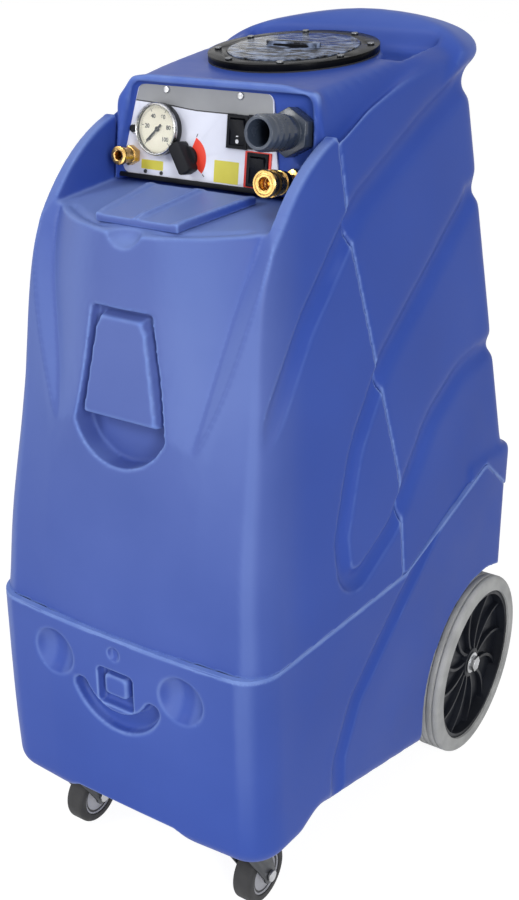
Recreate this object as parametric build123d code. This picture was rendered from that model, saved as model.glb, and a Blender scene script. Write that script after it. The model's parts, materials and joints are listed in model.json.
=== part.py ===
from build123d import *
import os
from collections import namedtuple
from math import atan2, cos, radians, sin, sqrt, tan

# A box-type carpet extractor: a moulded base tub on two casters and two large rear wheels,
# a solution tank at the front and a recovery tank with handle and control panel behind it.
# Millimetres, +Z up, front towards -Y, origin on the floor under the middle of the outer box.

os.makedirs("parts", exist_ok=True)


def save(node, *solids):
    """Write one node, a single solid or a group of separate solids."""
    shape = solids[0] if len(solids) == 1 else Compound(children=list(solids))
    export_step(shape, f"parts/{node}.step")


# Reach of cutting bodies past the faces they cut
FAR = 600.0
REACH = 60.0
CUT_SPARE = 1.0

# Moulded shells: walls and parting gaps
WALL = 6.5
LOFT_SAG = 3.0
SEAM_GAP = 1.5
SEAM_Z = 362.0

# Side walls: half width at a reference point, spread towards the rear and draft towards the top
SIDE_REF_Y = -10.0
SIDE_HALF_WIDTH = 202.0
SIDE_SPREAD = 0.0485
TANK_DRAFT = 0.091
BASE_DRAFT = 0.012

# Rear walls
REAR_CORNER = 24.0
TANK_REAR_Y = 256.0
TANK_REAR_REF_Z = 450.0
TANK_REAR_LEAN = 0.163
BASE_REAR_Y = 262.0
CURVE_PULL = 0.55
EDGE_PULL = 0.6
FIN_INSET = (0.35, 0.94)
EDGE_INSET = (0.45, 0.9)

# Front of the shells at each height: middle of the front, fin line, outer corner and its run.
# From 680 up the tank stations reach to the crest of the two fins.
Station = namedtuple("Station", "z nose fin_x fin_y edge_x edge_y run")
TANK_STATIONS = (
    Station(350, -315.5, 100, -313.5, 150, -310.0, 44),
    Station(470, -305.5, 100, -301.5, 149.5, -294.5, 41),
    Station(580, -296.5, 106, -283.0, 147.5, -273.5, 38),
    Station(680, -294.0, 127, -265.0, 147, -258.5, 34),
    Station(770, -289.0, 138, -243.5, 146, -240.0, 30),
    Station(850, -278.0, 138, -198.0, 146, -193.0, 26),
    Station(960, -266.0, 130, -118.0, 138, -113.0, 22),
)
# Front panel sunk between the fins, at each height: middle, and where it meets the fins
Sunk = namedtuple("Sunk", "z nose fin_x fin_y")
FRONT_PANEL = (
    Sunk(530, -312.0, 86, -309.0),
    Sunk(600, -299.0, 92, -281.5),
    Sunk(650, -289.5, 100, -265.5),
    Sunk(700, -283.5, 110, -253.5),
    Sunk(770, -275.0, 124, -232.0),
    Sunk(830, -266.0, 128, -200.0),
)
FIN_SLOPE_RUN = 70.0
FIN_SLOPE_RISE = 24.0
BASE_STATIONS = (
    Station(30, -309.0, 98, -307.5, 148, -304.0, 46),
    Station(120, -314.5, 100, -313.0, 151, -309.5, 46),
    Station(210, -318.0, 100, -316.5, 152, -313.0, 46),
    Station(300, -319.5, 100, -318.0, 151, -314.0, 46),
    Station(390, -319.0, 100, -317.2, 151, -313.5, 46),
    Station(480, -318.0, 100, -316.2, 150, -312.5, 46),
)


def side_x(y, z, draft=TANK_DRAFT):
    """Half width of the body at a depth and height, on the plane side wall."""
    return SIDE_HALF_WIDTH + SIDE_SPREAD * (y - SIDE_REF_Y) - draft * (z - SEAM_Z)


def tank_rear_y(z):
    return TANK_REAR_Y - TANK_REAR_LEAN * (z - TANK_REAR_REF_Z)


def flip(p):
    return (-p[0], p[1])


def rear_edges(start_y, z, rear_y, draft, inset):
    """Outline of a shell from one side round the back to the other side."""
    turn_y = rear_y - REAR_CORNER
    side = (side_x(start_y, z, draft) - inset, start_y)
    turn = (side_x(turn_y, z, draft) - inset, turn_y)
    back = (side_x(rear_y, z, draft) - REAR_CORNER, rear_y - inset)
    pull = CURVE_PULL * (REAR_CORNER - inset)
    turn_ctrl = (turn[0] + SIDE_SPREAD * pull, turn[1] + pull)
    back_ctrl = (back[0] + pull, back[1])
    return [
        Line(side, turn),
        Bezier(turn, turn_ctrl, back_ctrl, back),
        Line(back, flip(back)),
        Bezier(flip(back), flip(back_ctrl), flip(turn_ctrl), flip(turn)),
        Line(flip(turn), flip(side)),
    ]


def section(st, rear_y, draft, inset):
    """Closed outline of a shell at one height, drawn in by the inset."""
    nose = (0, st.nose + inset)
    fin = (st.fin_x - FIN_INSET[0] * inset, st.fin_y + FIN_INSET[1] * inset)
    edge = (st.edge_x - EDGE_INSET[0] * inset, st.edge_y + EDGE_INSET[1] * inset)
    side_y = st.edge_y + st.run
    side = (side_x(side_y, st.z, draft) - inset, side_y)
    pull = CURVE_PULL * st.run
    side_ctrl = (side[0] - SIDE_SPREAD * pull, side[1] - pull)
    band = atan2(edge[1] - fin[1], edge[0] - fin[0])
    edge_pull = EDGE_PULL * (side[0] - edge[0])
    edge_ctrl = (edge[0] + edge_pull * cos(band), edge[1] + edge_pull * sin(band))
    edges = [
        ThreePointArc(flip(fin), nose, fin),
        Line(fin, edge),
        Bezier(edge, edge_ctrl, side_ctrl, side),
        *rear_edges(side_y, st.z, rear_y, draft, inset),
        Bezier(flip(side), flip(side_ctrl), flip(edge_ctrl), flip(edge)),
        Line(flip(edge), flip(fin)),
    ]
    return Pos(0, 0, st.z) * Wire(edges)


def tank_form(inset=0.0):
    """Full outer form of the two tanks, before they are parted."""
    wires = [section(st, tank_rear_y(st.z), TANK_DRAFT, inset) for st in TANK_STATIONS]
    return Solid.make_loft(wires, ruled=inset > 0)


def front_panel_cut(inset=0.0):
    """Everything ahead of the panel between the fins, drawn in by the inset."""
    wires = []
    for st in FRONT_PANEL:
        side = (st.fin_x + inset, st.fin_y + inset)
        crest = (side[0] + FIN_SLOPE_RUN, side[1] - FIN_SLOPE_RISE)
        ahead = (crest[0], -FAR)
        edges = [
            ThreePointArc(flip(side), (0, st.nose + inset), side),
            Line(side, crest),
            Line(crest, ahead),
            Line(ahead, flip(ahead)),
            Line(flip(ahead), flip(crest)),
            Line(flip(crest), flip(side)),
        ]
        wires.append(Pos(0, 0, st.z) * Wire(edges))
    return Solid.make_loft(wires, ruled=inset > 0)


def base_form(inset=0.0):
    """Full outer form of the base tub, before its top and bottom edges are cut."""
    wires = [section(st, BASE_REAR_Y, BASE_DRAFT, inset) for st in BASE_STATIONS]
    return Solid.make_loft(wires)


# Parting line between base and tanks, seen from the side: level, then up along the rear fender
SEAM_BEND_Y = -12.0
FENDER_TOP = (190.0, 432.0)
FENDER_TAIL = (246.0, 386.0)
SEAM_ROUND = 16.0
SEAM_TAIL_FALL = 0.8

# Lower edge of the base
LOBE_Z = 112.0
LOBE_END_Y = -226.0
SKIRT_FRONT = (-194.0, 126.0)
SKIRT_REAR = (58.0, 70.0)
SKIRT_LIFT = 24.0
SKIRT_ROUND = 32.0
LOW_ROUND = 25.0
LOW_EDGE_TOP = 140.0
LOW_EDGE_ACROSS = 0.999
ARCH_Z = 131.0
ARCH_HALF_WIDTH = 72.0
ARCH_RAMP = 28.0
ARCH_ROUND = 18.0
ARCH_END_Y = -190.0

# Parting line between the two tanks, seen from the side, from the base upwards
JOINT_LINE = ((-20.0, 300.0), (-20.0, 490.0), (-97.0, 780.0), (-112.0, 905.0))
JOINT_ROUND = 130.0

# Top deck of the recovery tank, sloped to the front
DECK_SLOPE = 6.3
LID_Y = 43.5
LID_Z = 943.0


def deck_z(y):
    return LID_Z + (y - LID_Y) * tan(radians(DECK_SLOPE))


def side_prism(*edges):
    """Prism across the full width from a closed outline drawn in depth and height."""
    face = Face(Wire(list(edges)))
    return extrude(Plane.YZ * face, amount=FAR / 2, both=True)


def closed_prism(path, *corners):
    """Prism from an open path closed through further corners."""
    start, end = path @ 0, path @ 1
    pts = [(end.X, end.Y), *corners, (start.X, start.Y)]
    return side_prism(*path.edges(), *Polyline(*pts).edges())


def seam_path(lift):
    return FilletPolyline(
        (-FAR, SEAM_Z + lift),
        (SEAM_BEND_Y, SEAM_Z + lift),
        (FENDER_TOP[0], FENDER_TOP[1] + lift),
        (FENDER_TAIL[0], FENDER_TAIL[1] + lift),
        (FAR, FENDER_TAIL[1] - SEAM_TAIL_FALL * (FAR - FENDER_TAIL[0]) + lift),
        radius=SEAM_ROUND,
    )


def above_seam(lift):
    return closed_prism(seam_path(lift), (FAR, 2 * FAR), (-FAR, 2 * FAR))


def below_seam(lift):
    return closed_prism(seam_path(lift), (FAR, -FAR), (-FAR, -FAR))


def base_floor_path(lift):
    """Lower edge of the base seen from the side: caster lobe, step, slope down to the wheel."""
    return FilletPolyline(
        (-FAR, LOBE_Z + lift),
        (LOBE_END_Y, LOBE_Z + lift),
        (SKIRT_FRONT[0], SKIRT_FRONT[1] + lift),
        (SKIRT_REAR[0], SKIRT_REAR[1] + lift),
        (BASE_REAR_Y - SKIRT_LIFT, SKIRT_REAR[1] + lift),
        (FAR, SKIRT_REAR[1] + FAR - BASE_REAR_Y + SKIRT_LIFT + lift),
        radius=SKIRT_ROUND,
    )


def joint_path(shift):
    return FilletPolyline(*((y + shift, z) for y, z in JOINT_LINE), radius=JOINT_ROUND)


def beside_joint(shift, end_y):
    """Everything between the parting line of the tanks and a far end."""
    top = 2 * FAR
    crest = (JOINT_LINE[-1][0] + shift, top)
    return closed_prism(joint_path(shift), crest, (end_y, top), (end_y, JOINT_LINE[0][1]))


def behind_joint(shift):
    return beside_joint(shift, FAR)


def ahead_of_joint(shift):
    return beside_joint(shift, -FAR)


# Rear axle, wheels and wheel wells
WHEEL_R = 127.0
WHEEL_WIDTH = 45.0
WHEEL_FACE_X = 218.0
AXLE_Y = 193.0
AXLE_Z = WHEEL_R
AXLE_R = 8.0
AXLE_HOLE_GAP = 0.4
WELL_GAP = 18.0
WELL_SIDE_GAP = 7.0
WELL_SPARE = 100.0
WELL_R = WHEEL_R + WELL_GAP
WELL_X = WHEEL_FACE_X - WHEEL_WIDTH - WELL_SIDE_GAP

# Base tub inside
FLOOR_Z = 156.0
EXHAUST_Y = 118.0
EXHAUST_R = 32.0
SKIRT_BAY_Y = -195.0

# Moulded details on the front of the base
DISH_X = 91.0
DISH_Z = 315.0
DISH_R = 30.0
DISH_DEPTH = 18.0
DIMPLE_Z = 343.0
DIMPLE_R = 8.0
DIMPLE_DEPTH = 5.0
CATCH_Z = 297.0
CATCH_WIDTH = 50.0
CATCH_HEIGHT = 46.0
CATCH_DEPTH = 11.0
BLOCK_WIDTH = 33.0
BLOCK_HEIGHT = 26.0
BLOCK_RISE = 10.0
BLOCK_Z = 300.0
BLOCK_ROUND = 5.0
CATCH_ROUND = 5.0
SMILE_HALF_WIDTH = 60.0
SMILE_END_Z = 283.0
SMILE_LOW_Z = 242.0
SMILE_INNER_HALF = 42.0
SMILE_INNER_END_Z = 291.0
SMILE_INNER_LOW_Z = 265.0
SMILE_TIP = (4.0, 7.0)
SMILE_DEPTH = 14.0
BASE_FACE_Y = -319.5

# Soft grooves moulded into the sides: points are depth, height and corner radius
UPPER_GROOVE = (
    (175.0, 924.0, 0.0),
    (71.0, 884.0, 120.0),
    (-80.0, 815.0, 90.0),
    (-190.0, 712.0, 150.0),
    (-262.0, 620.0, 80.0),
    (-310.0, 520.0, 0.0),
)
UPPER_GROOVE_R = 18.0
UPPER_GROOVE_DEPTH = 8.5
LOOP_GROOVE = (
    (215.0, 816.0, 0.0),
    (-42.0, 638.0, 120.0),
    (-110.0, 556.0, 120.0),
    (-147.0, 462.0, 40.0),
    (-143.0, 408.0, 24.0),
    (-112.0, 403.0, 30.0),
    (-40.0, 436.0, 60.0),
    (57.0, 537.0, 90.0),
    (133.0, 577.0, 120.0),
    (240.0, 590.0, 0.0),
)
LOOP_GROOVE_R = 16.0
LOOP_GROOVE_DEPTH = 8.0
FENDER_GROOVE = (
    (64.0, 402.0, 0.0),
    (-60.0, 301.0, 60.0),
    (-124.0, 246.0, 60.0),
    (-158.0, 180.0, 40.0),
    (-158.0, 60.0, 0.0),
)
FENDER_GROOVE_R = 20.0
FENDER_GROOVE_DEPTH = 6.0
REAR_RINGS = (585.0, 786.0, 909.0)
REAR_RING_R = 14.0
REAR_RING_DEPTH = 7.0
REAR_RING_LEAD = 25.0


def cyl_x(x0, x1, y, z, r):
    return Pos((x0 + x1) / 2, y, z) * Rot(0, 90, 0) * Cylinder(r, x1 - x0)


def cyl_y(y0, y1, x, z, r):
    return Pos(x, (y0 + y1) / 2, z) * Rot(90, 0, 0) * Cylinder(r, y1 - y0)


def cyl_z(z0, z1, x, y, r):
    return Pos(x, y, (z0 + z1) / 2) * Cylinder(r, z1 - z0)


def block_at(x0, x1, y0, y1, z0, z1):
    centre = Pos((x0 + x1) / 2, (y0 + y1) / 2, (z0 + z1) / 2)
    return centre * Box(x1 - x0, y1 - y0, z1 - z0)


def sweep_round(path, r):
    """Round bar along a path."""
    wire = Wire(path)
    return sweep(Plane(wire @ 0, z_dir=wire % 0) * Circle(r), path=wire)


def groove_pair(points, draft, r, depth, grow):
    """Round groove along a path on one side plane and its mirror image, grown for the wall inside it."""
    normal = Vector(1, -SIDE_SPREAD, draft).normalized()
    origin = Vector(SIDE_HALF_WIDTH, SIDE_REF_Y, SEAM_Z) + normal * (r - depth)
    plane = Plane(origin, x_dir=(SIDE_SPREAD, 1, 0), z_dir=normal)
    spots = [(y - SIDE_REF_Y, z - SEAM_Z) for y, z, _ in points]
    path = FilletPolyline(*spots, radius=[p[2] for p in points[1:-1]])
    bar = sweep_round((plane * path).edges(), r + grow)
    return [bar, mirror(bar, about=Plane.YZ)]


def rear_ring(z, grow):
    """Groove round the back of the recovery tank, grown for the wall inside it."""
    rear_y = tank_rear_y(z)
    start_y = rear_y - REAR_CORNER - REAR_RING_LEAD
    edges = rear_edges(start_y, z, rear_y, TANK_DRAFT, REAR_RING_DEPTH - REAR_RING_R)
    return sweep_round([Pos(0, 0, z) * e for e in edges], REAR_RING_R + grow)


def tank_grooves(grow):
    upper = groove_pair(UPPER_GROOVE, TANK_DRAFT, UPPER_GROOVE_R, UPPER_GROOVE_DEPTH, grow)
    loop = groove_pair(LOOP_GROOVE, TANK_DRAFT, LOOP_GROOVE_R, LOOP_GROOVE_DEPTH, grow)
    return upper + loop


def fender_grooves(grow):
    return groove_pair(FENDER_GROOVE, BASE_DRAFT, FENDER_GROOVE_R, FENDER_GROOVE_DEPTH, grow)


def across(outline, from_y, to_y):
    """Solid from an outline drawn in width and height, between two depths."""
    face = Face(Wire(outline)) if isinstance(outline, list) else outline
    return extrude(Plane.XZ.offset(-to_y) * face, amount=to_y - from_y, dir=(0, -1, 0))


def well(side, grow):
    """Space of one rear wheel inside the base."""
    start = WELL_X - grow
    length = FAR / 2 - start
    mid = side * (start + length / 2)
    drum = Pos(mid, AXLE_Y, AXLE_Z) * Rot(0, 90, 0) * Cylinder(WELL_R + grow, length)
    depth = FAR - AXLE_Y + WELL_R + grow
    under_y = AXLE_Y - WELL_R - grow + depth / 2
    under = Pos(mid, under_y, (AXLE_Z - WELL_SPARE) / 2) * Box(length, depth, AXLE_Z + WELL_SPARE)
    return drum + under


def wells(grow):
    return well(1, grow) + well(-1, grow)


def smile_outline(grow):
    end = (SMILE_HALF_WIDTH + grow, SMILE_END_Z)
    low = (0, SMILE_LOW_Z - grow)
    inner = (SMILE_INNER_HALF - grow, SMILE_INNER_END_Z + grow)
    high = (0, SMILE_INNER_LOW_Z + grow)
    tip = ((end[0] + inner[0]) / 2 + SMILE_TIP[0], (end[1] + inner[1]) / 2 + SMILE_TIP[1])
    return [
        ThreePointArc((-end[0], end[1]), low, end),
        ThreePointArc(end, tip, inner),
        ThreePointArc(inner, high, (-inner[0], inner[1])),
        ThreePointArc((-inner[0], inner[1]), (-tip[0], tip[1]), (-end[0], end[1])),
    ]


def base_pockets(grow):
    """Recesses in the front of the base, or with grow the material behind them."""
    ball_r = (DISH_R**2 + DISH_DEPTH**2) / (2 * DISH_DEPTH)
    ball_y = BASE_FACE_Y - ball_r + DISH_DEPTH
    front = BASE_FACE_Y - REACH
    width, height = CATCH_WIDTH + 2 * grow, CATCH_HEIGHT + 2 * grow
    catch = Pos(0, CATCH_Z) * RectangleRounded(width, height, CATCH_ROUND + grow)
    pockets = [Pos(x, ball_y, DISH_Z) * Sphere(ball_r + grow) for x in (-DISH_X, DISH_X)]
    pockets.append(across(catch.face(), front, BASE_FACE_Y + CATCH_DEPTH + grow))
    pockets.append(across(smile_outline(grow), front, BASE_FACE_Y + SMILE_DEPTH + grow))
    dimple = Pos(0, DIMPLE_Z) * Circle(DIMPLE_R + grow)
    pockets.append(across(dimple.face(), front, BASE_FACE_Y + DIMPLE_DEPTH + grow))
    return pockets


def front_arch():
    """Raised lower edge of the base between the two caster lobes."""
    low = LOBE_Z - REACH
    path = FilletPolyline(
        (-ARCH_HALF_WIDTH - ARCH_RAMP, low),
        (-ARCH_HALF_WIDTH - ARCH_RAMP, LOBE_Z),
        (-ARCH_HALF_WIDTH, ARCH_Z),
        (ARCH_HALF_WIDTH, ARCH_Z),
        (ARCH_HALF_WIDTH + ARCH_RAMP, LOBE_Z),
        (ARCH_HALF_WIDTH + ARCH_RAMP, low),
        radius=ARCH_ROUND / 2,
    )
    outline = [*path.edges(), Line(path @ 1, path @ 0)]
    return across(outline, -FAR, ARCH_END_Y)


def low_edges(solid):
    """Edges round the foot of the base, without the straight ones across the bottom."""
    found = []
    for edge in solid.edges():
        box = edge.bounding_box()
        across_bottom = abs(edge.tangent_at(0.5).X) > LOW_EDGE_ACROSS and box.max.Y > LOBE_END_Y
        if box.max.Z < LOW_EDGE_TOP and not across_bottom:
            found.append(edge)
    return found


def base_tub():
    top = Pos(0, 0, FLOOR_Z + FAR / 2) * Box(FAR, 2 * FAR, FAR)
    bay_low = FLOOR_Z - WALL
    bay = Pos(0, SKIRT_BAY_Y + FAR / 2, bay_low - FAR / 2) * Box(FAR, FAR, FAR)
    inner = base_form(WALL) - wells(WALL)
    for bar in fender_grooves(WALL):
        inner -= bar
    room = inner & top
    for pocket in base_pockets(WALL):
        room -= pocket
    tub = base_form() & below_seam(0)
    tub &= closed_prism(base_floor_path(0), (FAR, 2 * FAR), (-FAR, 2 * FAR))
    tub = fillet(low_edges(tub), LOW_ROUND)
    for bar in fender_grooves(0):
        tub -= bar
    tub = tub - wells(0) - front_arch() - room - (inner & bay)
    for pocket in base_pockets(0):
        tub -= pocket
    block = (Pos(0, BLOCK_Z) * RectangleRounded(BLOCK_WIDTH, BLOCK_HEIGHT, BLOCK_ROUND)).face()
    block_y = BASE_FACE_Y + CATCH_DEPTH
    tub += across(block, block_y - BLOCK_RISE, block_y)
    tub -= cyl_x(-FAR / 2, FAR / 2, AXLE_Y, AXLE_Z, AXLE_R + AXLE_HOLE_GAP)
    tub -= cyl_z(FLOOR_Z - 2 * WALL, FLOOR_Z + WALL, 0, EXHAUST_Y, EXHAUST_R)
    for x in (-CASTER_X, CASTER_X):
        for bx, by in bolt_spots(x):
            tub -= cyl_z(LOBE_Z - CUT_SPARE, LOBE_Z + CASTER_BOLT_REACH, bx, by, CASTER_BOLT_R)
    for x in (-POWER_X, POWER_X):
        tub -= cyl_y(BASE_REAR_Y - POWER_DEEP, BASE_REAR_Y + CUT_SPARE, x, POWER_Z, POWER_R)
    return tub


# Open space between the two fins, above the filling shelf of the solution tank
SHELF_Z = 803.0
SHELF_REF_Y = -250.0
SHELF_SLOPE = 5.3
COCKPIT_REAR = (135.0, -80.0)
COCKPIT_MID = (135.5, -200.0)
COCKPIT_FRONT = (134.5, -340.0)
FIN_TOP = ((-262.0, 751.0), (-218.0, 807.0), (-180.0, 848.0), (-143.0, 873.0), (-96.0, 890.0))
FIN_TOP_INNER_X = 126.0

# Filling mouth under the fill lid, and the finger scoop in front of it
MOUTH_FRONT_Y = -236.0
MOUTH_REAR_Y = -142.0
MOUTH_FRONT_HALF = 44.0
MOUTH_REAR_HALF = 62.0
SCOOP_Y = -276.0
SCOOP_R = 26.0
SCOOP_LIFT = 12.0

# Recess in the front of the solution tank, drawn on the leaning face
GRIP_Z = 640.0
GRIP_Y = -290.5
GRIP_LEAN = 5.7
GRIP_DEPTH = 17.0
GRIP_TOP_HALF = 38.0
GRIP_WIDE_HALF = 59.0
GRIP_TOP = 87.0
GRIP_WIDE = -40.0
GRIP_LOW = -80.0
GRIP_STEP = -30.0
GRIP_LOW_DEPTH = 30.0
GRIP_PAD_RISE = 5.0
GRIP_PAD_EDGE = 8.0
GRIP_EAR_R = 11.0


def shelf_z(y):
    return SHELF_Z + (y - SHELF_REF_Y) * tan(radians(SHELF_SLOPE))


def above_line(p, q):
    """Everything above the side-view line through two points."""
    slope = (q[1] - p[1]) / (q[0] - p[0])
    left = (-FAR, p[1] - (p[0] + FAR) * slope)
    right = (FAR, p[1] + (FAR - p[0]) * slope)
    corners = Polyline(left, right, (FAR, 3 * FAR), (-FAR, 3 * FAR), left)
    return side_prism(*corners.edges())


def above_fins():
    """Everything above the rounded top line of the two fins, outside the panel between them."""
    ahead = (-FAR, FIN_TOP[0][1])
    behind = (FAR, FIN_TOP[-1][1])
    corners = Polyline(FIN_TOP[-1], behind, (FAR, 3 * FAR), (-FAR, 3 * FAR), ahead, FIN_TOP[0])
    cut = side_prism(Spline(*FIN_TOP), *corners.edges())
    return cut - Box(2 * FIN_TOP_INNER_X, 2 * FAR, 4 * FAR)


def above_shelf(lift):
    return above_line((SHELF_REF_Y, SHELF_Z + lift), (0, shelf_z(0) + lift))


def above_deck(lift):
    return above_line((LID_Y, LID_Z + lift), (FAR, deck_z(FAR) + lift))


def plan_prism(points, low, high):
    """Upright solid from a plan outline of straight lines."""
    face = Face(Wire(Polyline(*points, points[0]).edges()))
    return extrude(Pos(0, 0, low) * face, amount=high - low)


def mirrored(points):
    return list(points) + [(-p[0], p[1]) for p in reversed(points)]


def cockpit():
    plan = mirrored([COCKPIT_FRONT, COCKPIT_MID, COCKPIT_REAR])
    return plan_prism(plan, SHELF_Z - REACH, 2 * FAR) & above_shelf(0)


def mouth(grow, low, high):
    points = [
        (MOUTH_FRONT_HALF + grow, MOUTH_FRONT_Y - grow),
        (MOUTH_REAR_HALF + grow, MOUTH_REAR_Y + grow),
    ]
    return plan_prism(mirrored(points), low, high)


def grip_plane(depth):
    lean = radians(GRIP_LEAN)
    normal = Vector(0, -cos(lean), sin(lean))
    return Plane(Vector(0, GRIP_Y, GRIP_Z) - normal * depth, x_dir=(1, 0, 0), z_dir=normal)


def grip_outline(grow):
    top = GRIP_TOP + grow
    wide = GRIP_WIDE_HALF + grow
    upper = GRIP_TOP_HALF + grow
    return Wire([
        Line((upper, top), (-upper, top)),
        Line((-upper, top), (-wide, GRIP_WIDE)),
        ThreePointArc((-wide, GRIP_WIDE), (0, GRIP_LOW - grow), (wide, GRIP_WIDE)),
        Line((wide, GRIP_WIDE), (upper, top)),
    ])


def grip_cut(grow):
    """The recess itself, or with grow the space kept solid around it."""
    face = Face(grip_outline(grow))
    cut = extrude(grip_plane(GRIP_DEPTH + grow) * face, amount=REACH)
    low = Pos(0, GRIP_STEP + grow - FAR / 2) * Rectangle(FAR, FAR)
    cut += extrude(grip_plane(GRIP_LOW_DEPTH + grow) * (face & low), amount=REACH)
    return cut


def grip_pad():
    """Raised pad inside the recess with its two upper corners scooped out."""
    face = Face(grip_outline(-GRIP_PAD_EDGE))
    face &= Pos(0, GRIP_STEP + FAR / 2) * Rectangle(FAR, FAR)
    for x in (-GRIP_TOP_HALF, GRIP_TOP_HALF):
        face -= Pos(x, GRIP_TOP - GRIP_PAD_EDGE) * Circle(GRIP_EAR_R)
    return extrude(grip_plane(GRIP_DEPTH) * face, amount=GRIP_PAD_RISE)


def solution_tank():
    outer = tank_form() & above_seam(SEAM_GAP) & ahead_of_joint(-SEAM_GAP / 2)
    outer = outer - above_fins() - cockpit() - front_panel_cut()
    room = tank_form(WALL + LOFT_SAG) & above_seam(SEAM_GAP + WALL) & ahead_of_joint(-SEAM_GAP / 2 - WALL)
    room = room - above_shelf(-WALL) - grip_cut(WALL) - front_panel_cut(WALL + LOFT_SAG)
    for bar in tank_grooves(WALL):
        room -= bar
    scoop_z = shelf_z(SCOOP_Y) + SCOOP_LIFT
    scoop = Pos(0, SCOOP_Y, scoop_z) * Sphere(SCOOP_R)
    room -= Pos(0, SCOOP_Y, scoop_z) * Sphere(SCOOP_R + WALL)
    tank = outer - room - grip_cut(0) - scoop
    tank += grip_pad()
    for bar in tank_grooves(0):
        tank -= bar
    return tank - mouth(0, SHELF_Z - REACH, SHELF_Z + REACH)


# Control panel, drawn on its own leaning plane
PANEL_Y = -113.0
PANEL_Z = 872.0
PANEL_LEAN = 7.1
PLATE_THICK = 2.0
HOOD_RISE = 9.0
HOOD_DEEP = 66.0
HOOD_LOW = -54.0
HOOD_LOW_HALF = 131.0
HOOD_TOP = 62.0
HOOD_TOP_HALF = 129.0
RECESS_LOW_LEFT = -131.0
RECESS_LOW_RIGHT = 127.0
RECESS_TOP_LEFT = -107.0
RECESS_TOP_RIGHT = 121.0
RECESS_LOW = -70.0
RECESS_TOP = 51.0
RECESS_ROUND = 12.0
POCKET_LOW_LEFT = -117.0
POCKET_LOW_RIGHT = 78.0
POCKET_TOP_LEFT = -98.0
POCKET_TOP_RIGHT = 66.0
POCKET_LOW = -45.0
POCKET_TOP = 42.0
POCKET_DEEP = 52.0

# Deck, shoulders, lid seat, handle and hand pocket
SHOULDER_EDGE_X = 150.0
SHOULDER_FAR_X = 230.0
SHOULDER_SPARE = 80.0
SHOULDER_LIFT = 1.0
# Depth, left crest, right crest and height of the edge
Shoulder = namedtuple("Shoulder", "y left_x right_x edge_z")
SHOULDERS = (
    Shoulder(-140.0, 108.0, 128.0, 870.0),
    Shoulder(-100.0, 108.0, 128.0, 888.0),
    Shoulder(-50.0, 116.0, 128.0, 909.0),
    Shoulder(20.0, 126.0, 128.0, 926.0),
    Shoulder(90.0, 128.0, 128.0, 938.0),
    Shoulder(230.0, 128.0, 128.0, 953.0),
)
LID_RING_R = 97.0
NECK_R = 74.0
PAD_R = 101.0
DECK_THICK = 26.0
HANDLE_RINGS = ((900.0, 175.0), (926.0, 187.0), (946.0, 203.0), (968.0, 202.0), (992.0, 184.0))
HANDLE_FRONT_Y = 92.0
HANDLE_CORNER = 36.0
HANDLE_FLARE = 0.3
HANDLE_FOOT_Z = 700.0
HANDLE_CREST = (
    (-178.0, 924.0),
    (-147.0, 955.0),
    (-85.0, 974.0),
    (0.0, 985.0),
    (85.0, 980.0),
    (147.0, 960.0),
    (178.0, 930.0),
)
RAIL_FRONT = (136.0, 944.0)
RAIL_REAR = (180.0, 990.0)
TROUGH_HALF = 126.0
TROUGH_FRONT_Y = 58.0
TROUGH_REAR_Y = 157.0
TROUGH_DEPTH = 16.0

# Fittings carried by the recovery tank
LID_SCREW_COUNT = 8
LID_SCREW_CIRCLE_R = 87.0
LID_SCREW_R = 2.0
LID_SCREW_REACH = 14.0
LID_SCREW_SPOTS = [
    (
        LID_SCREW_CIRCLE_R * cos(radians(360 * (k + 0.5) / LID_SCREW_COUNT)),
        LID_SCREW_CIRCLE_R * sin(radians(360 * (k + 0.5) / LID_SCREW_COUNT)),
    )
    for k in range(LID_SCREW_COUNT)
]
PANEL_SCREW_SPOTS = ((-65.0, 44.5), (31.0, 44.5))
PANEL_SCREW_R = 1.6
PANEL_SCREW_REACH = 9.0
BARB_U = 99.5
BARB_V = 14.0
BARB_TAIL_R = 19.0
COUPLER_U = 106.0
COUPLER_V = -34.0
COUPLER_BOSS_R = 18.5
COUPLER_BOSS_RISE = 3.0
COUPLER_STEM_R = 7.0
COUPLER_STEM_DEEP = 34.0
STANDPIPE_X = -45.0
STANDPIPE_Y = 80.0
STANDPIPE_R = 20.0
STANDPIPE_LOW_Z = 372.0

# Tail ledge and drain boss at the back
LEDGE_REAR_Y = 272.0
LEDGE_FRONT_Y = 150.0
LEDGE_LOW_Z = 380.0
LEDGE_TOP_Z = 440.0
DRAIN_Z = 472.0
DRAIN_BOSS_R = 31.0
DRAIN_BOSS_Y = 256.0
DRAIN_BOSS_IN_Y = 200.0
DRAIN_BORE_R = 16.0


def panel_plane(rise):
    lean = radians(PANEL_LEAN)
    normal = Vector(0, -cos(lean), sin(lean))
    return Plane(Vector(0, PANEL_Y, PANEL_Z) + normal * rise, x_dir=(1, 0, 0), z_dir=normal)


def panel_block(points, from_rise, to_rise, corner=0.0):
    """Solid on the panel plane from a straight-sided outline, between two heights off the plate."""
    if corner:
        wire = FilletPolyline(*points, radius=corner, close=True)
    else:
        wire = Polyline(*points, points[0])
    return extrude(panel_plane(from_rise) * Face(Wire(wire.edges())), amount=to_rise - from_rise)


def hood():
    points = mirrored([(HOOD_LOW_HALF, HOOD_LOW), (HOOD_TOP_HALF, HOOD_TOP)])
    return panel_block(points, -HOOD_DEEP, HOOD_RISE)


def recess():
    points = (
        (RECESS_LOW_LEFT, RECESS_LOW),
        (RECESS_LOW_RIGHT, RECESS_LOW),
        (RECESS_TOP_RIGHT, RECESS_TOP),
        (RECESS_TOP_LEFT, RECESS_TOP),
    )
    return panel_block(points, -PLATE_THICK, HOOD_RISE + REACH, RECESS_ROUND)


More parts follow.
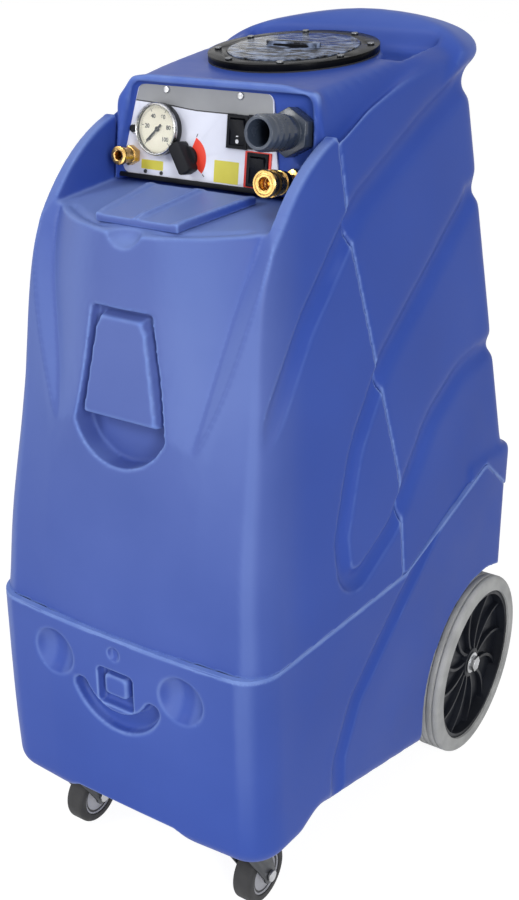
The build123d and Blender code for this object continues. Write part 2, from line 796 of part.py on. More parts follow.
def panel_pocket():
    points = (
        (POCKET_LOW_LEFT, POCKET_LOW),
        (POCKET_LOW_RIGHT, POCKET_LOW),
        (POCKET_TOP_RIGHT, POCKET_TOP),
        (POCKET_TOP_LEFT, POCKET_TOP),
    )
    return panel_block(points, -POCKET_DEEP, HOOD_RISE)


def deck_plane(rise):
    """Plane of the lid seat, lifted along its own normal."""
    slope = radians(DECK_SLOPE)
    normal = Vector(0, -sin(slope), cos(slope))
    return Plane(Vector(0, LID_Y, LID_Z) + normal * rise, x_dir=(1, 0, 0), z_dir=normal)


def deck_disc(radius, from_rise, to_rise):
    return extrude(deck_plane(from_rise) * Circle(radius), amount=to_rise - from_rise)


def deck_peg(x, y, r, from_rise, to_rise):
    """Round peg square to the deck, placed from the middle of the lid."""
    return extrude(deck_plane(from_rise) * Pos(x, y) * Circle(r), amount=to_rise - from_rise)


def panel_peg(u, v, r, from_rise, to_rise):
    """Round peg square to the control panel."""
    return extrude(panel_plane(from_rise) * Pos(u, v) * Circle(r), amount=to_rise - from_rise)


def panel_hex(u, v, flats, from_rise, to_rise):
    outline = Pos(u, v) * Rot(0, 0, 30) * RegularPolygon(flats / 2, 6, major_radius=False)
    return extrude(panel_plane(from_rise) * outline, amount=to_rise - from_rise)


def panel_box(u, v, width, height, from_rise, to_rise):
    return extrude(panel_plane(from_rise) * Pos(u, v) * Rectangle(width, height), amount=to_rise - from_rise)


def shoulder_cut(side):
    """Slope from the deck down to the crisp edge at the top of one side."""
    wires = []
    for row in SHOULDERS:
        crest_x = row.left_x if side < 0 else row.right_x
        top = deck_z(row.y) + SHOULDER_LIFT
        fall = (top - row.edge_z) / (SHOULDER_EDGE_X - crest_x)
        points = (
            (side * crest_x, row.y, top),
            (side * SHOULDER_FAR_X, row.y, top + SHOULDER_SPARE),
            (side * SHOULDER_FAR_X, row.y, top - fall * (SHOULDER_FAR_X - crest_x)),
        )
        wires.append(Wire(Polyline(*points, points[0]).edges()))
    return Solid.make_loft(wires, ruled=True)


def handle_ring(z, rear_y):
    half = side_x(rear_y - HANDLE_CORNER, z) + HANDLE_FLARE * (rear_y - HANDLE_RINGS[0][1])
    turn_y = rear_y - HANDLE_CORNER
    back_x = half - HANDLE_CORNER
    reach = HANDLE_CORNER * sin(radians(45))
    mid = (back_x + reach, turn_y + reach)
    edges = [
        Line((-half, HANDLE_FRONT_Y), (half, HANDLE_FRONT_Y)),
        Line((half, HANDLE_FRONT_Y), (half, turn_y)),
        ThreePointArc((half, turn_y), mid, (back_x, rear_y)),
        Line((back_x, rear_y), (-back_x, rear_y)),
        ThreePointArc((-back_x, rear_y), (-mid[0], mid[1]), (-half, turn_y)),
        Line((-half, turn_y), (-half, HANDLE_FRONT_Y)),
    ]
    return Pos(0, 0, z) * Wire(edges)


def handle():
    bar = Solid.make_loft([handle_ring(z, y) for z, y in HANDLE_RINGS])
    arch = Spline(*HANDLE_CREST)
    left_x, right_x = HANDLE_CREST[0][0], HANDLE_CREST[-1][0]
    base = Polyline(arch @ 1, (right_x, HANDLE_FOOT_Z), (left_x, HANDLE_FOOT_Z), arch @ 0)
    under = across([arch, *base.edges()], -FAR, FAR)
    return (bar & under) - above_line(RAIL_FRONT, RAIL_REAR)


def ledge():
    st = Station(LEDGE_LOW_Z, *TANK_STATIONS[0][1:])
    block = extrude(Face(section(st, LEDGE_REAR_Y, TANK_DRAFT, 0)), amount=LEDGE_TOP_Z - LEDGE_LOW_Z)
    return block & (Pos(0, FAR / 2 + LEDGE_FRONT_Y, LEDGE_TOP_Z) * Box(FAR, FAR, FAR)) & above_seam(SEAM_GAP)


def recovery_tank():
    outer = tank_form() & above_seam(SEAM_GAP) & behind_joint(SEAM_GAP / 2)
    outer -= above_deck(0)
    outer += (hood() - above_deck(0)) & above_shelf(SEAM_GAP)
    outer = outer - shoulder_cut(1) - shoulder_cut(-1)
    outer = outer + handle() + ledge()
    trough = block_at(-TROUGH_HALF, TROUGH_HALF, TROUGH_FRONT_Y, TROUGH_REAR_Y, LID_Z - REACH, LID_Z + REACH)
    outer -= (trough & above_deck(-TROUGH_DEPTH)) - deck_disc(PAD_R, -REACH, 0)
    outer += cyl_y(DRAIN_BOSS_IN_Y, DRAIN_BOSS_Y, 0, DRAIN_Z, DRAIN_BOSS_R)
    room = tank_form(WALL + LOFT_SAG) & above_seam(SEAM_GAP + WALL) & behind_joint(SEAM_GAP / 2 + WALL)
    room -= above_deck(-DECK_THICK)
    for bar in tank_grooves(WALL):
        room -= bar
    front = panel_plane(-POCKET_DEEP - WALL)
    room -= extrude(front * Rectangle(FAR, 2 * (WALL - HOOD_LOW)), amount=FAR)
    for z in REAR_RINGS:
        outer -= rear_ring(z, 0)
        room -= rear_ring(z, WALL)
    tank = outer - room - recess() - panel_pocket()
    for bar in tank_grooves(0):
        tank -= bar
    tank -= deck_disc(NECK_R, -DECK_THICK - REACH, REACH)
    for x, y in LID_SCREW_SPOTS:
        tank -= deck_peg(x, y, LID_SCREW_R, -LID_SCREW_REACH, CUT_SPARE)
    tank += panel_peg(COUPLER_U, COUPLER_V, COUPLER_BOSS_R, -PLATE_THICK, COUPLER_BOSS_RISE)
    tank -= panel_peg(COUPLER_U, COUPLER_V, COUPLER_STEM_R, -COUPLER_STEM_DEEP, HOOD_RISE)
    tank -= panel_peg(BARB_U, BARB_V, BARB_TAIL_R, -POCKET_DEEP - REACH, HOOD_RISE)
    tank -= panel_peg(BREAKER_U, BREAKER_V, BREAKER_BODY_R, -BREAKER_BODY_DEEP, 0)
    tank -= panel_peg(INLET_U, INLET_V, INLET_STEM_R, -INLET_STEM_DEEP, 0)
    for u, v in PANEL_SCREW_SPOTS:
        tank -= panel_peg(u, v, PANEL_SCREW_R, -PANEL_SCREW_REACH, 0)
    tank -= cyl_z(STANDPIPE_LOW_Z - REACH, STANDPIPE_LOW_Z + REACH, STANDPIPE_X, STANDPIPE_Y, STANDPIPE_R)
    return tank - cyl_y(DRAIN_BOSS_Y - REACH, DRAIN_BOSS_Y + REACH, 0, DRAIN_Z, DRAIN_BORE_R)


# Base seal
SEAL_INSET = 1.2


def base_seal():
    ring = base_form(SEAL_INSET) - base_form(WALL)
    return ring & below_seam(SEAM_GAP) & above_seam(0)


# Fill lid over the filling mouth
FILL_FRONT_Y = -249.0
FILL_REAR_Y = -136.0
FILL_FRONT_HALF = 52.0
FILL_REAR_HALF = 70.0
FILL_THICK = 8.0
FILL_PLUG_DEPTH = 13.0
FILL_PLUG_GAP = 0.5
FILL_PLUG_WALL = 5.0
FILL_GROOVE = 4.0


def fill_lid():
    points = mirrored([(FILL_FRONT_HALF, FILL_FRONT_Y), (FILL_REAR_HALF, FILL_REAR_Y)])
    low, high = SHELF_Z - REACH, SHELF_Z + REACH
    half = FILL_GROOVE / 2
    plate = plan_prism(points, low, high) & above_shelf(0)
    plate -= above_shelf(FILL_THICK)
    plate -= above_shelf(FILL_THICK - half) & block_at(-half, half, -FAR, FAR, low, high)
    plug = mouth(-FILL_PLUG_GAP, low, high) - mouth(-FILL_PLUG_GAP - FILL_PLUG_WALL, low, high)
    plug = (plug & above_shelf(-FILL_PLUG_DEPTH)) - above_shelf(0)
    return plate + plug


# Lid ring, gasket, screws and clear lid
GASKET_THICK = 1.5
RING_THICK = 7.0
RING_LEDGE_R = 70.0
RING_LEDGE = 3.0
CLEAR_LID_R = 75.0
CLEAR_LID_GAP = 0.5
CLEAR_LID_THICK = 5.0
LID_SCREW_HEAD_R = 4.0
LID_SCREW_HEAD = 2.2
LID_GRIP_LENGTH = 70.0
LID_GRIP_WIDTH = 12.0
LID_GRIP_RISE = 5.0
LID_GRIP_ROUND = 5.4
RING_TOP = GASKET_THICK + RING_THICK
LID_FLOOR = GASKET_THICK + RING_LEDGE


def with_lid_holes(shape, from_rise, to_rise):
    for x, y in LID_SCREW_SPOTS:
        shape -= deck_peg(x, y, LID_SCREW_R, from_rise, to_rise)
    return shape


def lid_gasket():
    ring = deck_disc(LID_RING_R, 0, GASKET_THICK) - deck_disc(NECK_R, 0, GASKET_THICK)
    return with_lid_holes(ring, 0, GASKET_THICK)


def lid_ring():
    ring = deck_disc(LID_RING_R, GASKET_THICK, RING_TOP)
    ring -= deck_disc(CLEAR_LID_R + CLEAR_LID_GAP, LID_FLOOR, RING_TOP)
    ring -= deck_disc(RING_LEDGE_R, GASKET_THICK, RING_TOP)
    return with_lid_holes(ring, GASKET_THICK, RING_TOP)


def lid_screws():
    screws = []
    for x, y in LID_SCREW_SPOTS:
        head = deck_peg(x, y, LID_SCREW_HEAD_R, RING_TOP, RING_TOP + LID_SCREW_HEAD)
        screws.append(head + deck_peg(x, y, LID_SCREW_R, -LID_SCREW_REACH, RING_TOP))
    return screws


def clear_lid():
    disc = deck_disc(CLEAR_LID_R, LID_FLOOR, LID_FLOOR + CLEAR_LID_THICK)
    top = LID_FLOOR + CLEAR_LID_THICK
    grip = deck_plane(top) * RectangleRounded(LID_GRIP_LENGTH, LID_GRIP_WIDTH, LID_GRIP_ROUND)
    return disc + extrude(grip, amount=LID_GRIP_RISE)


# Control panel plate and the parts set in it
PLATE_LOW = -47.0
PLATE_TOP = 49.0
PLATE_LOW_LEFT = -124.0
PLATE_LOW_RIGHT = 85.0
PLATE_TOP_LEFT = -103.0
PLATE_TOP_RIGHT = 70.0
PLATE_ROUND = 9.0
STRIP_HEIGHT = 5.0
STRIP_RISE = 3.0
PANEL_HEAD_R = 3.6
PANEL_HEAD = 2.0
GAUGE_U = -70.0
GAUGE_V = 3.0
GAUGE_R = 27.5
GAUGE_RISE = 12.0
GAUGE_RIM = 2.2
GAUGE_CUP = 6.0
GAUGE_BODY_R = 23.0
GAUGE_BODY_DEEP = 26.0
DIAL_THICK = 1.0
NEEDLE_RISE = 1.0
NEEDLE_THICK = 0.8
NEEDLE_LENGTH = 19.0
NEEDLE_TAIL = 7.0
NEEDLE_WIDTH = 2.4
NEEDLE_HUB_R = 2.8
NEEDLE_PIN_R = 0.9
NEEDLE_PIN_GAP = 0.06
NEEDLE_REST = 225.0
LENS_THICK = 1.4
KNOB_U = -33.0
KNOB_V = -24.0
KNOB_SKIRT_R = 13.0
KNOB_SKIRT = 5.0
KNOB_GAP = 0.4
KNOB_LENGTH = 34.0
KNOB_WIDTH = 15.0
KNOB_RISE = 17.0
KNOB_REST = 122.0
VALVE_STEM_R = 4.0
VALVE_STEM_GAP = 0.06
VALVE_BODY = 30.0
VALVE_BODY_DEEP = 36.0
ROCKER_SPOTS = {"pump": (30.0, 8.6), "vacuum_a": (56.5, 9.6), "vacuum_b": (57.5, -28.0)}
ROCKER_WIDTH = 18.4
ROCKER_HEIGHT = 26.0
ROCKER_GAP = 0.3
ROCKER_SWING_GAP = 0.9
ROCKER_LIP = 3.5
ROCKER_DIP = 1.5
ROCKER_DEEP = 3.0
ROCKER_PIVOT = -1.0
ROCKER_TILT = 10.0
ROCKER_PIN_R = 1.2
ROCKER_PIN_GAP = 0.05
ROCKER_PIN = 0.8
SWITCH_WALL = 1.4
SWITCH_RIM = 2.0
SWITCH_RISE = 2.4
SWITCH_WELL = 9.0
SWITCH_DEEP = 26.0
RED_FRAME_WIDTH = 33.0
RED_FRAME_HEIGHT = 37.0
RED_FRAME_THICK = 1.2
BREAKER_U = -104.0
BREAKER_V = 1.0
BREAKER_NUT_R = 6.5
BREAKER_NUT = 3.0
BREAKER_BODY_R = 5.5
BREAKER_BODY_DEEP = 24.0
BREAKER_BUTTON_R = 4.0
BREAKER_BUTTON_GAP = 0.05
BREAKER_BUTTON_RISE = 8.5
BREAKER_WELL = 8.0
BREAKER_TRAVEL = 3.0
BREAKER_SPARE = 1.0
INLET_U = -108.0
INLET_V = -28.0
INLET_HEX = 19.0
INLET_HEX_RISE = 9.0
INLET_R = 8.5
INLET_RISE = 26.0
INLET_BORE_R = 5.0
INLET_STEM_R = 6.5
INLET_STEM_DEEP = 20.0
INLET_LIP = 1.5
INLET_LIP_RISE = 5.0


def switch_hole(grow=0.0):
    """Opening of one rocker, and with grow the body round it."""
    width = ROCKER_WIDTH + 2 * ROCKER_GAP + 2 * grow
    return width, ROCKER_HEIGHT + 2 * ROCKER_SWING_GAP + 2 * grow


def control_panel():
    points = (
        (PLATE_LOW_LEFT, PLATE_LOW),
        (PLATE_LOW_RIGHT, PLATE_LOW),
        (PLATE_TOP_RIGHT, PLATE_TOP),
        (PLATE_TOP_LEFT, PLATE_TOP),
    )
    plate = panel_block(points, -PLATE_THICK, 0, PLATE_ROUND)
    plate -= panel_peg(GAUGE_U, GAUGE_V, GAUGE_BODY_R, -PLATE_THICK, 0)
    plate -= panel_peg(KNOB_U, KNOB_V, VALVE_STEM_R + KNOB_GAP, -PLATE_THICK, 0)
    plate -= panel_peg(BREAKER_U, BREAKER_V, BREAKER_BODY_R, -PLATE_THICK, 0)
    plate -= panel_peg(INLET_U, INLET_V, INLET_STEM_R, -PLATE_THICK, 0)
    for u, v in ROCKER_SPOTS.values():
        plate -= panel_box(u, v, *switch_hole(SWITCH_WALL), -PLATE_THICK, 0)
    for u, v in PANEL_SCREW_SPOTS:
        plate -= panel_peg(u, v, PANEL_SCREW_R, -PLATE_THICK, 0)
    return plate


def panel_strip():
    width = PLATE_LOW_RIGHT - PLATE_LOW_LEFT
    mid = (PLATE_LOW_RIGHT + PLATE_LOW_LEFT) / 2
    return panel_box(mid, PLATE_LOW - STRIP_HEIGHT / 2, width, STRIP_HEIGHT, -PLATE_THICK, STRIP_RISE)


def panel_screws():
    screws = []
    for u, v in PANEL_SCREW_SPOTS:
        head = panel_peg(u, v, PANEL_HEAD_R, 0, PANEL_HEAD)
        screws.append(head + panel_peg(u, v, PANEL_SCREW_R, -PANEL_SCREW_REACH, 0))
    return screws


def gauge_case():
    case = panel_peg(GAUGE_U, GAUGE_V, GAUGE_R, 0, GAUGE_RISE)
    case += panel_peg(GAUGE_U, GAUGE_V, GAUGE_BODY_R, -GAUGE_BODY_DEEP, 0)
    return case - panel_peg(GAUGE_U, GAUGE_V, GAUGE_R - GAUGE_RIM, GAUGE_CUP, GAUGE_RISE)


def gauge_dial():
    dial = panel_peg(GAUGE_U, GAUGE_V, GAUGE_R - GAUGE_RIM, GAUGE_CUP, GAUGE_CUP + DIAL_THICK)
    pin_hole = NEEDLE_PIN_R + NEEDLE_PIN_GAP
    return dial - panel_peg(GAUGE_U, GAUGE_V, pin_hole, GAUGE_CUP, GAUGE_CUP + DIAL_THICK)


def gauge_needle():
    low = GAUGE_CUP + DIAL_THICK + NEEDLE_RISE
    high = low + NEEDLE_THICK
    bar = (NEEDLE_LENGTH - NEEDLE_TAIL) / 2
    outline = Rot(0, 0, NEEDLE_REST) * Pos(bar, 0) * Rectangle(NEEDLE_LENGTH + NEEDLE_TAIL, NEEDLE_WIDTH)
    needle = extrude(panel_plane(low) * Pos(GAUGE_U, GAUGE_V) * outline, amount=NEEDLE_THICK)
    needle += panel_peg(GAUGE_U, GAUGE_V, NEEDLE_HUB_R, low - NEEDLE_RISE / 2, high)
    return needle + panel_peg(GAUGE_U, GAUGE_V, NEEDLE_PIN_R, GAUGE_CUP + DIAL_THICK / 4, low)


def gauge_lens():
    return panel_peg(GAUGE_U, GAUGE_V, GAUGE_R - GAUGE_RIM, GAUGE_RISE - LENS_THICK, GAUGE_RISE)


def regulator_knob():
    skirt = panel_peg(KNOB_U, KNOB_V, KNOB_SKIRT_R, KNOB_GAP, KNOB_SKIRT)
    outline = Rot(0, 0, KNOB_REST) * RectangleRounded(KNOB_LENGTH, KNOB_WIDTH, KNOB_WIDTH / 4)
    bar = extrude(panel_plane(KNOB_GAP) * Pos(KNOB_U, KNOB_V) * outline, amount=KNOB_RISE - KNOB_GAP)
    bore = panel_peg(KNOB_U, KNOB_V, VALVE_STEM_R + VALVE_STEM_GAP, KNOB_GAP, KNOB_RISE / 2)
    return skirt + bar - bore


def regulator_valve():
    body = panel_box(KNOB_U, KNOB_V, VALVE_BODY, VALVE_BODY, -VALVE_BODY_DEEP, -PLATE_THICK)
    return body + panel_peg(KNOB_U, KNOB_V, VALVE_STEM_R, -PLATE_THICK, KNOB_RISE / 2 - KNOB_GAP)


def switch_housing(u, v):
    width, height = switch_hole()
    outer_width, outer_height = switch_hole(SWITCH_WALL)
    rim_width, rim_height = switch_hole(SWITCH_WALL + SWITCH_RIM)
    body = panel_box(u, v, outer_width, outer_height, -SWITCH_DEEP, SWITCH_RISE)
    body += panel_box(u, v, rim_width, rim_height, 0, SWITCH_RISE)
    body -= panel_box(u, v, width, height, -SWITCH_WELL, SWITCH_RISE)
    pin = rocker_pin(u, v, ROCKER_PIN_R + ROCKER_PIN_GAP, ROCKER_GAP)
    return body - pin


def rocker_pin(u, v, r, reach):
    """Pivot pin across a rocker, longer than the rocker by its two ends."""
    length = ROCKER_WIDTH + 2 * (ROCKER_PIN + reach)
    centre = panel_plane(ROCKER_PIVOT) * Pos(u, v)
    return centre * Rot(0, 90, 0) * Cylinder(r, length)


def rocker(u, v):
    half = ROCKER_HEIGHT / 2
    base = ROCKER_PIVOT
    outline = Polyline(
        (-half, -ROCKER_DEEP - base),
        (half, -ROCKER_DEEP - base),
        (half, ROCKER_LIP - base),
        (0, ROCKER_DIP - base),
        (-half, ROCKER_LIP - base),
        (-half, -ROCKER_DEEP - base),
    )
    profile = Plane.YZ * Face(Wire(outline.edges()))
    key = extrude(profile, amount=ROCKER_WIDTH / 2, both=True)
    key += Rot(0, 90, 0) * Cylinder(ROCKER_PIN_R, ROCKER_WIDTH + 2 * ROCKER_PIN)
    return panel_plane(base) * Pos(u, v) * Rot(ROCKER_TILT, 0, 0) * key


def red_frame():
    u, v = ROCKER_SPOTS["vacuum_b"]
    width, height = switch_hole(SWITCH_WALL + SWITCH_RIM)
    frame = panel_box(u, v, RED_FRAME_WIDTH, RED_FRAME_HEIGHT, 0, RED_FRAME_THICK)
    return frame - panel_box(u, v, width, height, 0, RED_FRAME_THICK)


def breaker_body():
    body = panel_peg(BREAKER_U, BREAKER_V, BREAKER_BODY_R, -BREAKER_BODY_DEEP, BREAKER_NUT)
    body += panel_peg(BREAKER_U, BREAKER_V, BREAKER_NUT_R, 0, BREAKER_NUT)
    well_r = BREAKER_BUTTON_R + BREAKER_BUTTON_GAP
    return body - panel_peg(BREAKER_U, BREAKER_V, well_r, -BREAKER_WELL, BREAKER_NUT)


def breaker_button():
    low = BREAKER_TRAVEL + BREAKER_SPARE - BREAKER_WELL
    return panel_peg(BREAKER_U, BREAKER_V, BREAKER_BUTTON_R, low, BREAKER_BUTTON_RISE)


def inlet_fitting():
    fitting = panel_hex(INLET_U, INLET_V, INLET_HEX, 0, INLET_HEX_RISE)
    fitting += panel_peg(INLET_U, INLET_V, INLET_R, INLET_HEX_RISE, INLET_RISE)
    fitting += panel_peg(INLET_U, INLET_V, INLET_R + INLET_LIP, INLET_RISE - INLET_LIP_RISE, INLET_RISE)
    fitting += panel_peg(INLET_U, INLET_V, INLET_STEM_R, -INLET_STEM_DEEP, 0)
    return fitting - panel_peg(INLET_U, INLET_V, INLET_BORE_R, -INLET_STEM_DEEP, INLET_RISE)


# Vacuum hose barb and solution coupler on the right of the panel
BARB_HEX = 43.0
BARB_HEX_RISE = 16.0
BARB_R = 16.5
BARB_RIB = 1.6
BARB_RIB_PITCH = 11.0
BARB_RIBS = 4
BARB_BORE_R = 13.0
BARB_RISE = 68.0
BARB_TAIL_DEEP = POCKET_DEEP + WALL + 4.0
COUPLER_HEX = 23.0
COUPLER_HEX_RISE = 10.0
COUPLER_NECK_R = 7.0
COUPLER_NECK_RISE = 24.0
COUPLER_R = 11.0
COUPLER_RISE = 62.0
COUPLER_MOUTH_R = 6.5
COUPLER_MOUTH_DEEP = 9.0
COUPLER_GROOVE_R = 7.6
COUPLER_GROOVE = 2.5
COUPLER_SPARE = 1.0
SLEEVE_R = 13.5
SLEEVE_GAP = 0.05
SLEEVE_LENGTH = 18.0
SLEEVE_TRAVEL = 7.0
SLEEVE_STOP_R = 12.6
SLEEVE_STOP = 2.0
POPPET_R = 5.9
POPPET_GAP = 0.1
POPPET_LENGTH = 8.0
POPPET_REST = 0.5
POPPET_TRAVEL = 6.0


def hose_barb():
    body = panel_hex(BARB_U, BARB_V, BARB_HEX, -PLATE_THICK, BARB_HEX_RISE)
    body += panel_peg(BARB_U, BARB_V, BARB_R, BARB_HEX_RISE, BARB_RISE)
    for k in range(BARB_RIBS):
        top = BARB_RISE - k * BARB_RIB_PITCH
        profile = panel_plane(top - BARB_RIB_PITCH) * Pos(BARB_U, BARB_V)
        body += profile * Pos(0, 0, BARB_RIB_PITCH / 2) * Cone(BARB_R + BARB_RIB, BARB_R, BARB_RIB_PITCH)
    body += panel_peg(BARB_U, BARB_V, BARB_TAIL_R, -BARB_TAIL_DEEP, -PLATE_THICK)
    return body - panel_peg(BARB_U, BARB_V, BARB_BORE_R, -BARB_TAIL_DEEP, BARB_RISE)


def coupler_nipple():
    low = COUPLER_BOSS_RISE
    body = panel_hex(COUPLER_U, COUPLER_V, COUPLER_HEX, low, COUPLER_HEX_RISE)
    body += panel_peg(COUPLER_U, COUPLER_V, COUPLER_NECK_R, COUPLER_HEX_RISE, COUPLER_NECK_RISE)
    return body + panel_peg(COUPLER_U, COUPLER_V, COUPLER_STEM_R, -COUPLER_STEM_DEEP, low)


def poppet_top():
    return COUPLER_RISE - COUPLER_MOUTH_DEEP - COUPLER_GROOVE - POPPET_REST


def coupler_body():
    body = panel_peg(COUPLER_U, COUPLER_V, COUPLER_R, COUPLER_NECK_RISE, COUPLER_RISE)
    top = COUPLER_RISE - SLEEVE_LENGTH - SLEEVE_TRAVEL - COUPLER_SPARE
    body += panel_peg(COUPLER_U, COUPLER_V, SLEEVE_STOP_R, top - SLEEVE_STOP, top)
    mouth_low = COUPLER_RISE - COUPLER_MOUTH_DEEP
    bore_low = poppet_top() - POPPET_LENGTH - POPPET_TRAVEL - COUPLER_SPARE
    body -= panel_peg(COUPLER_U, COUPLER_V, COUPLER_MOUTH_R, mouth_low, COUPLER_RISE)
    body -= panel_peg(COUPLER_U, COUPLER_V, COUPLER_GROOVE_R, mouth_low - COUPLER_GROOVE, mouth_low)
    return body - panel_peg(COUPLER_U, COUPLER_V, POPPET_R + POPPET_GAP, bore_low, mouth_low)


def coupler_sleeve():
    low = COUPLER_RISE - SLEEVE_LENGTH
    ring = panel_peg(COUPLER_U, COUPLER_V, SLEEVE_R, low, COUPLER_RISE)
    return ring - panel_peg(COUPLER_U, COUPLER_V, COUPLER_R + SLEEVE_GAP, low, COUPLER_RISE)


def coupler_poppet():
    top = poppet_top()
    return panel_peg(COUPLER_U, COUPLER_V, POPPET_R, top - POPPET_LENGTH, top)


# Standpipe with float shut-off inside the recovery tank
BEND_R = 45.0
STANDPIPE_BORE_R = 17.0
STANDPIPE_TOP_Z = 833.0
MOUTH_Z = 818.0
CAGE_R = 24.0
CAGE_LOW_Z = 750.0
CAGE_COLLAR = 12.0
CAGE_LIP = 4.0
CAGE_BAR_R = 2.0
CAGE_BARS = 4
CAGE_FLOOR = 4.0
CAGE_BAR_INSET = 0.5
FLOAT_R = 18.0
FLOAT_SEAT_GAP = 0.3
FLOAT_X = STANDPIPE_X + 2 * BEND_R


def standpipe_path():
    top_x = STANDPIPE_X + BEND_R
    return [
        Line((STANDPIPE_X, STANDPIPE_Y, STANDPIPE_LOW_Z), (STANDPIPE_X, STANDPIPE_Y, STANDPIPE_TOP_Z)),
        ThreePointArc(
            (STANDPIPE_X, STANDPIPE_Y, STANDPIPE_TOP_Z),
            (top_x, STANDPIPE_Y, STANDPIPE_TOP_Z + BEND_R),
            (FLOAT_X, STANDPIPE_Y, STANDPIPE_TOP_Z),
        ),
        Line((FLOAT_X, STANDPIPE_Y, STANDPIPE_TOP_Z), (FLOAT_X, STANDPIPE_Y, MOUTH_Z)),
    ]


def standpipe():
    return sweep_round(standpipe_path(), STANDPIPE_R) - sweep_round(standpipe_path(), STANDPIPE_BORE_R)


def float_cage():
    collar = cyl_z(MOUTH_Z - CAGE_LIP, MOUTH_Z + CAGE_COLLAR, FLOAT_X, STANDPIPE_Y, CAGE_R)
    collar -= cyl_z(MOUTH_Z, MOUTH_Z + CAGE_COLLAR, FLOAT_X, STANDPIPE_Y, STANDPIPE_R)
    collar -= cyl_z(MOUTH_Z - CAGE_LIP, MOUTH_Z, FLOAT_X, STANDPIPE_Y, STANDPIPE_BORE_R)
    cage = collar + cyl_z(CAGE_LOW_Z, CAGE_LOW_Z + CAGE_FLOOR, FLOAT_X, STANDPIPE_Y, CAGE_R)
    cage -= cyl_z(CAGE_LOW_Z, CAGE_LOW_Z + CAGE_FLOOR, FLOAT_X, STANDPIPE_Y, FLOAT_R / 2)
    for k in range(CAGE_BARS):
        turn = radians(360 * (k + 0.5) / CAGE_BARS)
        x = FLOAT_X + (CAGE_R - CAGE_BAR_R - CAGE_BAR_INSET) * cos(turn)
        y = STANDPIPE_Y + (CAGE_R - CAGE_BAR_R - CAGE_BAR_INSET) * sin(turn)
        cage += cyl_z(CAGE_LOW_Z + CAGE_FLOOR / 2, MOUTH_Z - CAGE_LIP / 2, x, y, CAGE_BAR_R)
    return cage


def float_ball():
    edge_drop = FLOAT_R - sqrt(FLOAT_R**2 - (FLOAT_R / 2) ** 2)
    z = CAGE_LOW_Z + CAGE_FLOOR + FLOAT_R - edge_drop + FLOAT_SEAT_GAP
    return Pos(FLOAT_X, STANDPIPE_Y, z) * Sphere(FLOAT_R)


# Drain valve at the back
DRAIN_HEX = 46.0
DRAIN_HEX_Y = 272.0
DRAIN_BODY_R = 20.0
DRAIN_BODY_Y = 300.0
DRAIN_SPOUT_R = 17.0
DRAIN_SPOUT_Y = 316.0
DRAIN_SPOUT_BORE_R = 13.0
DRAIN_TAIL_DEEP = 30.0
LEVER_Y = 286.0
LEVER_STEM_R = 5.0
LEVER_STEM_GAP = 0.06
LEVER_LOW = 24.0
LEVER_THICK = 5.0
LEVER_WIDTH = 15.0
LEVER_LENGTH = 74.0
LEVER_HUB_R = 11.0
BALL_STEM_TOP = 26.0


def drain_valve():
    hexagon = Rot(0, 0, 30) * RegularPolygon(DRAIN_HEX / 2, 6, major_radius=False)
    body = extrude(
        Plane.XZ.offset(-DRAIN_HEX_Y) * Pos(0, DRAIN_Z) * hexagon,
        amount=DRAIN_HEX_Y - DRAIN_BOSS_Y,
    )
    body += cyl_y(DRAIN_HEX_Y, DRAIN_BODY_Y, 0, DRAIN_Z, DRAIN_BODY_R)
    body += cyl_y(DRAIN_BODY_Y, DRAIN_SPOUT_Y, 0, DRAIN_Z, DRAIN_SPOUT_R)
    body += cyl_y(DRAIN_BOSS_Y - DRAIN_TAIL_DEEP, DRAIN_BOSS_Y, 0, DRAIN_Z, DRAIN_BORE_R)
    body -= cyl_y(LEVER_Y + LEVER_HUB_R, DRAIN_SPOUT_Y, 0, DRAIN_Z, DRAIN_SPOUT_BORE_R)
    body -= cyl_y(DRAIN_BOSS_Y - DRAIN_TAIL_DEEP, LEVER_Y - LEVER_HUB_R, 0, DRAIN_Z, DRAIN_SPOUT_BORE_R)
    return body + cyl_z(DRAIN_Z, DRAIN_Z + BALL_STEM_TOP, 0, LEVER_Y, LEVER_STEM_R)


def drain_lever():
    low = DRAIN_Z + LEVER_LOW
    outline = Pos(LEVER_LENGTH / 2, LEVER_Y) * RectangleRounded(LEVER_LENGTH, LEVER_WIDTH, LEVER_WIDTH / 3)
    lever = extrude(Pos(0, 0, low) * outline, amount=LEVER_THICK)
    lever += cyl_z(low, low + LEVER_THICK, 0, LEVER_Y, LEVER_HUB_R)
    bore_top = DRAIN_Z + BALL_STEM_TOP + LEVER_STEM_GAP
    return lever - cyl_z(low, bore_top, 0, LEVER_Y, LEVER_STEM_R + LEVER_STEM_GAP)


# Power inlets at the back of the base
POWER_X = 60.0
POWER_Z = 236.0
POWER_FLANGE = 58.0
POWER_FLANGE_THICK = 4.0
POWER_R = 21.0
POWER_RISE = 14.0
POWER_WELL = 30.0
POWER_DEEP = 34.0
POWER_WALL = 2.5
POWER_ROUND = 8.0
POWER_PIN = 18.0
POWER_PIN_HALF = (0.8, 3.0)
POWER_PIN_SPOTS = ((-7.0, 3.0), (7.0, 3.0), (0.0, -8.0))


def power_inlet(x):
    flange = (Pos(x, POWER_Z) * RectangleRounded(POWER_FLANGE, POWER_FLANGE, POWER_ROUND)).face()
    body = across(flange, BASE_REAR_Y, BASE_REAR_Y + POWER_FLANGE_THICK)
    end = BASE_REAR_Y + POWER_RISE
    start = end - POWER_WELL
    body += cyl_y(BASE_REAR_Y - POWER_DEEP, end, x, POWER_Z, POWER_R)
    body -= cyl_y(start, end, x, POWER_Z, POWER_R - POWER_WALL)
    half_x, half_z = POWER_PIN_HALF
    for du, dv in POWER_PIN_SPOTS:
        px, pz = x + du, POWER_Z + dv
        body += block_at(px - half_x, px + half_x, start, start + POWER_PIN, pz - half_z, pz + half_z)
    return body


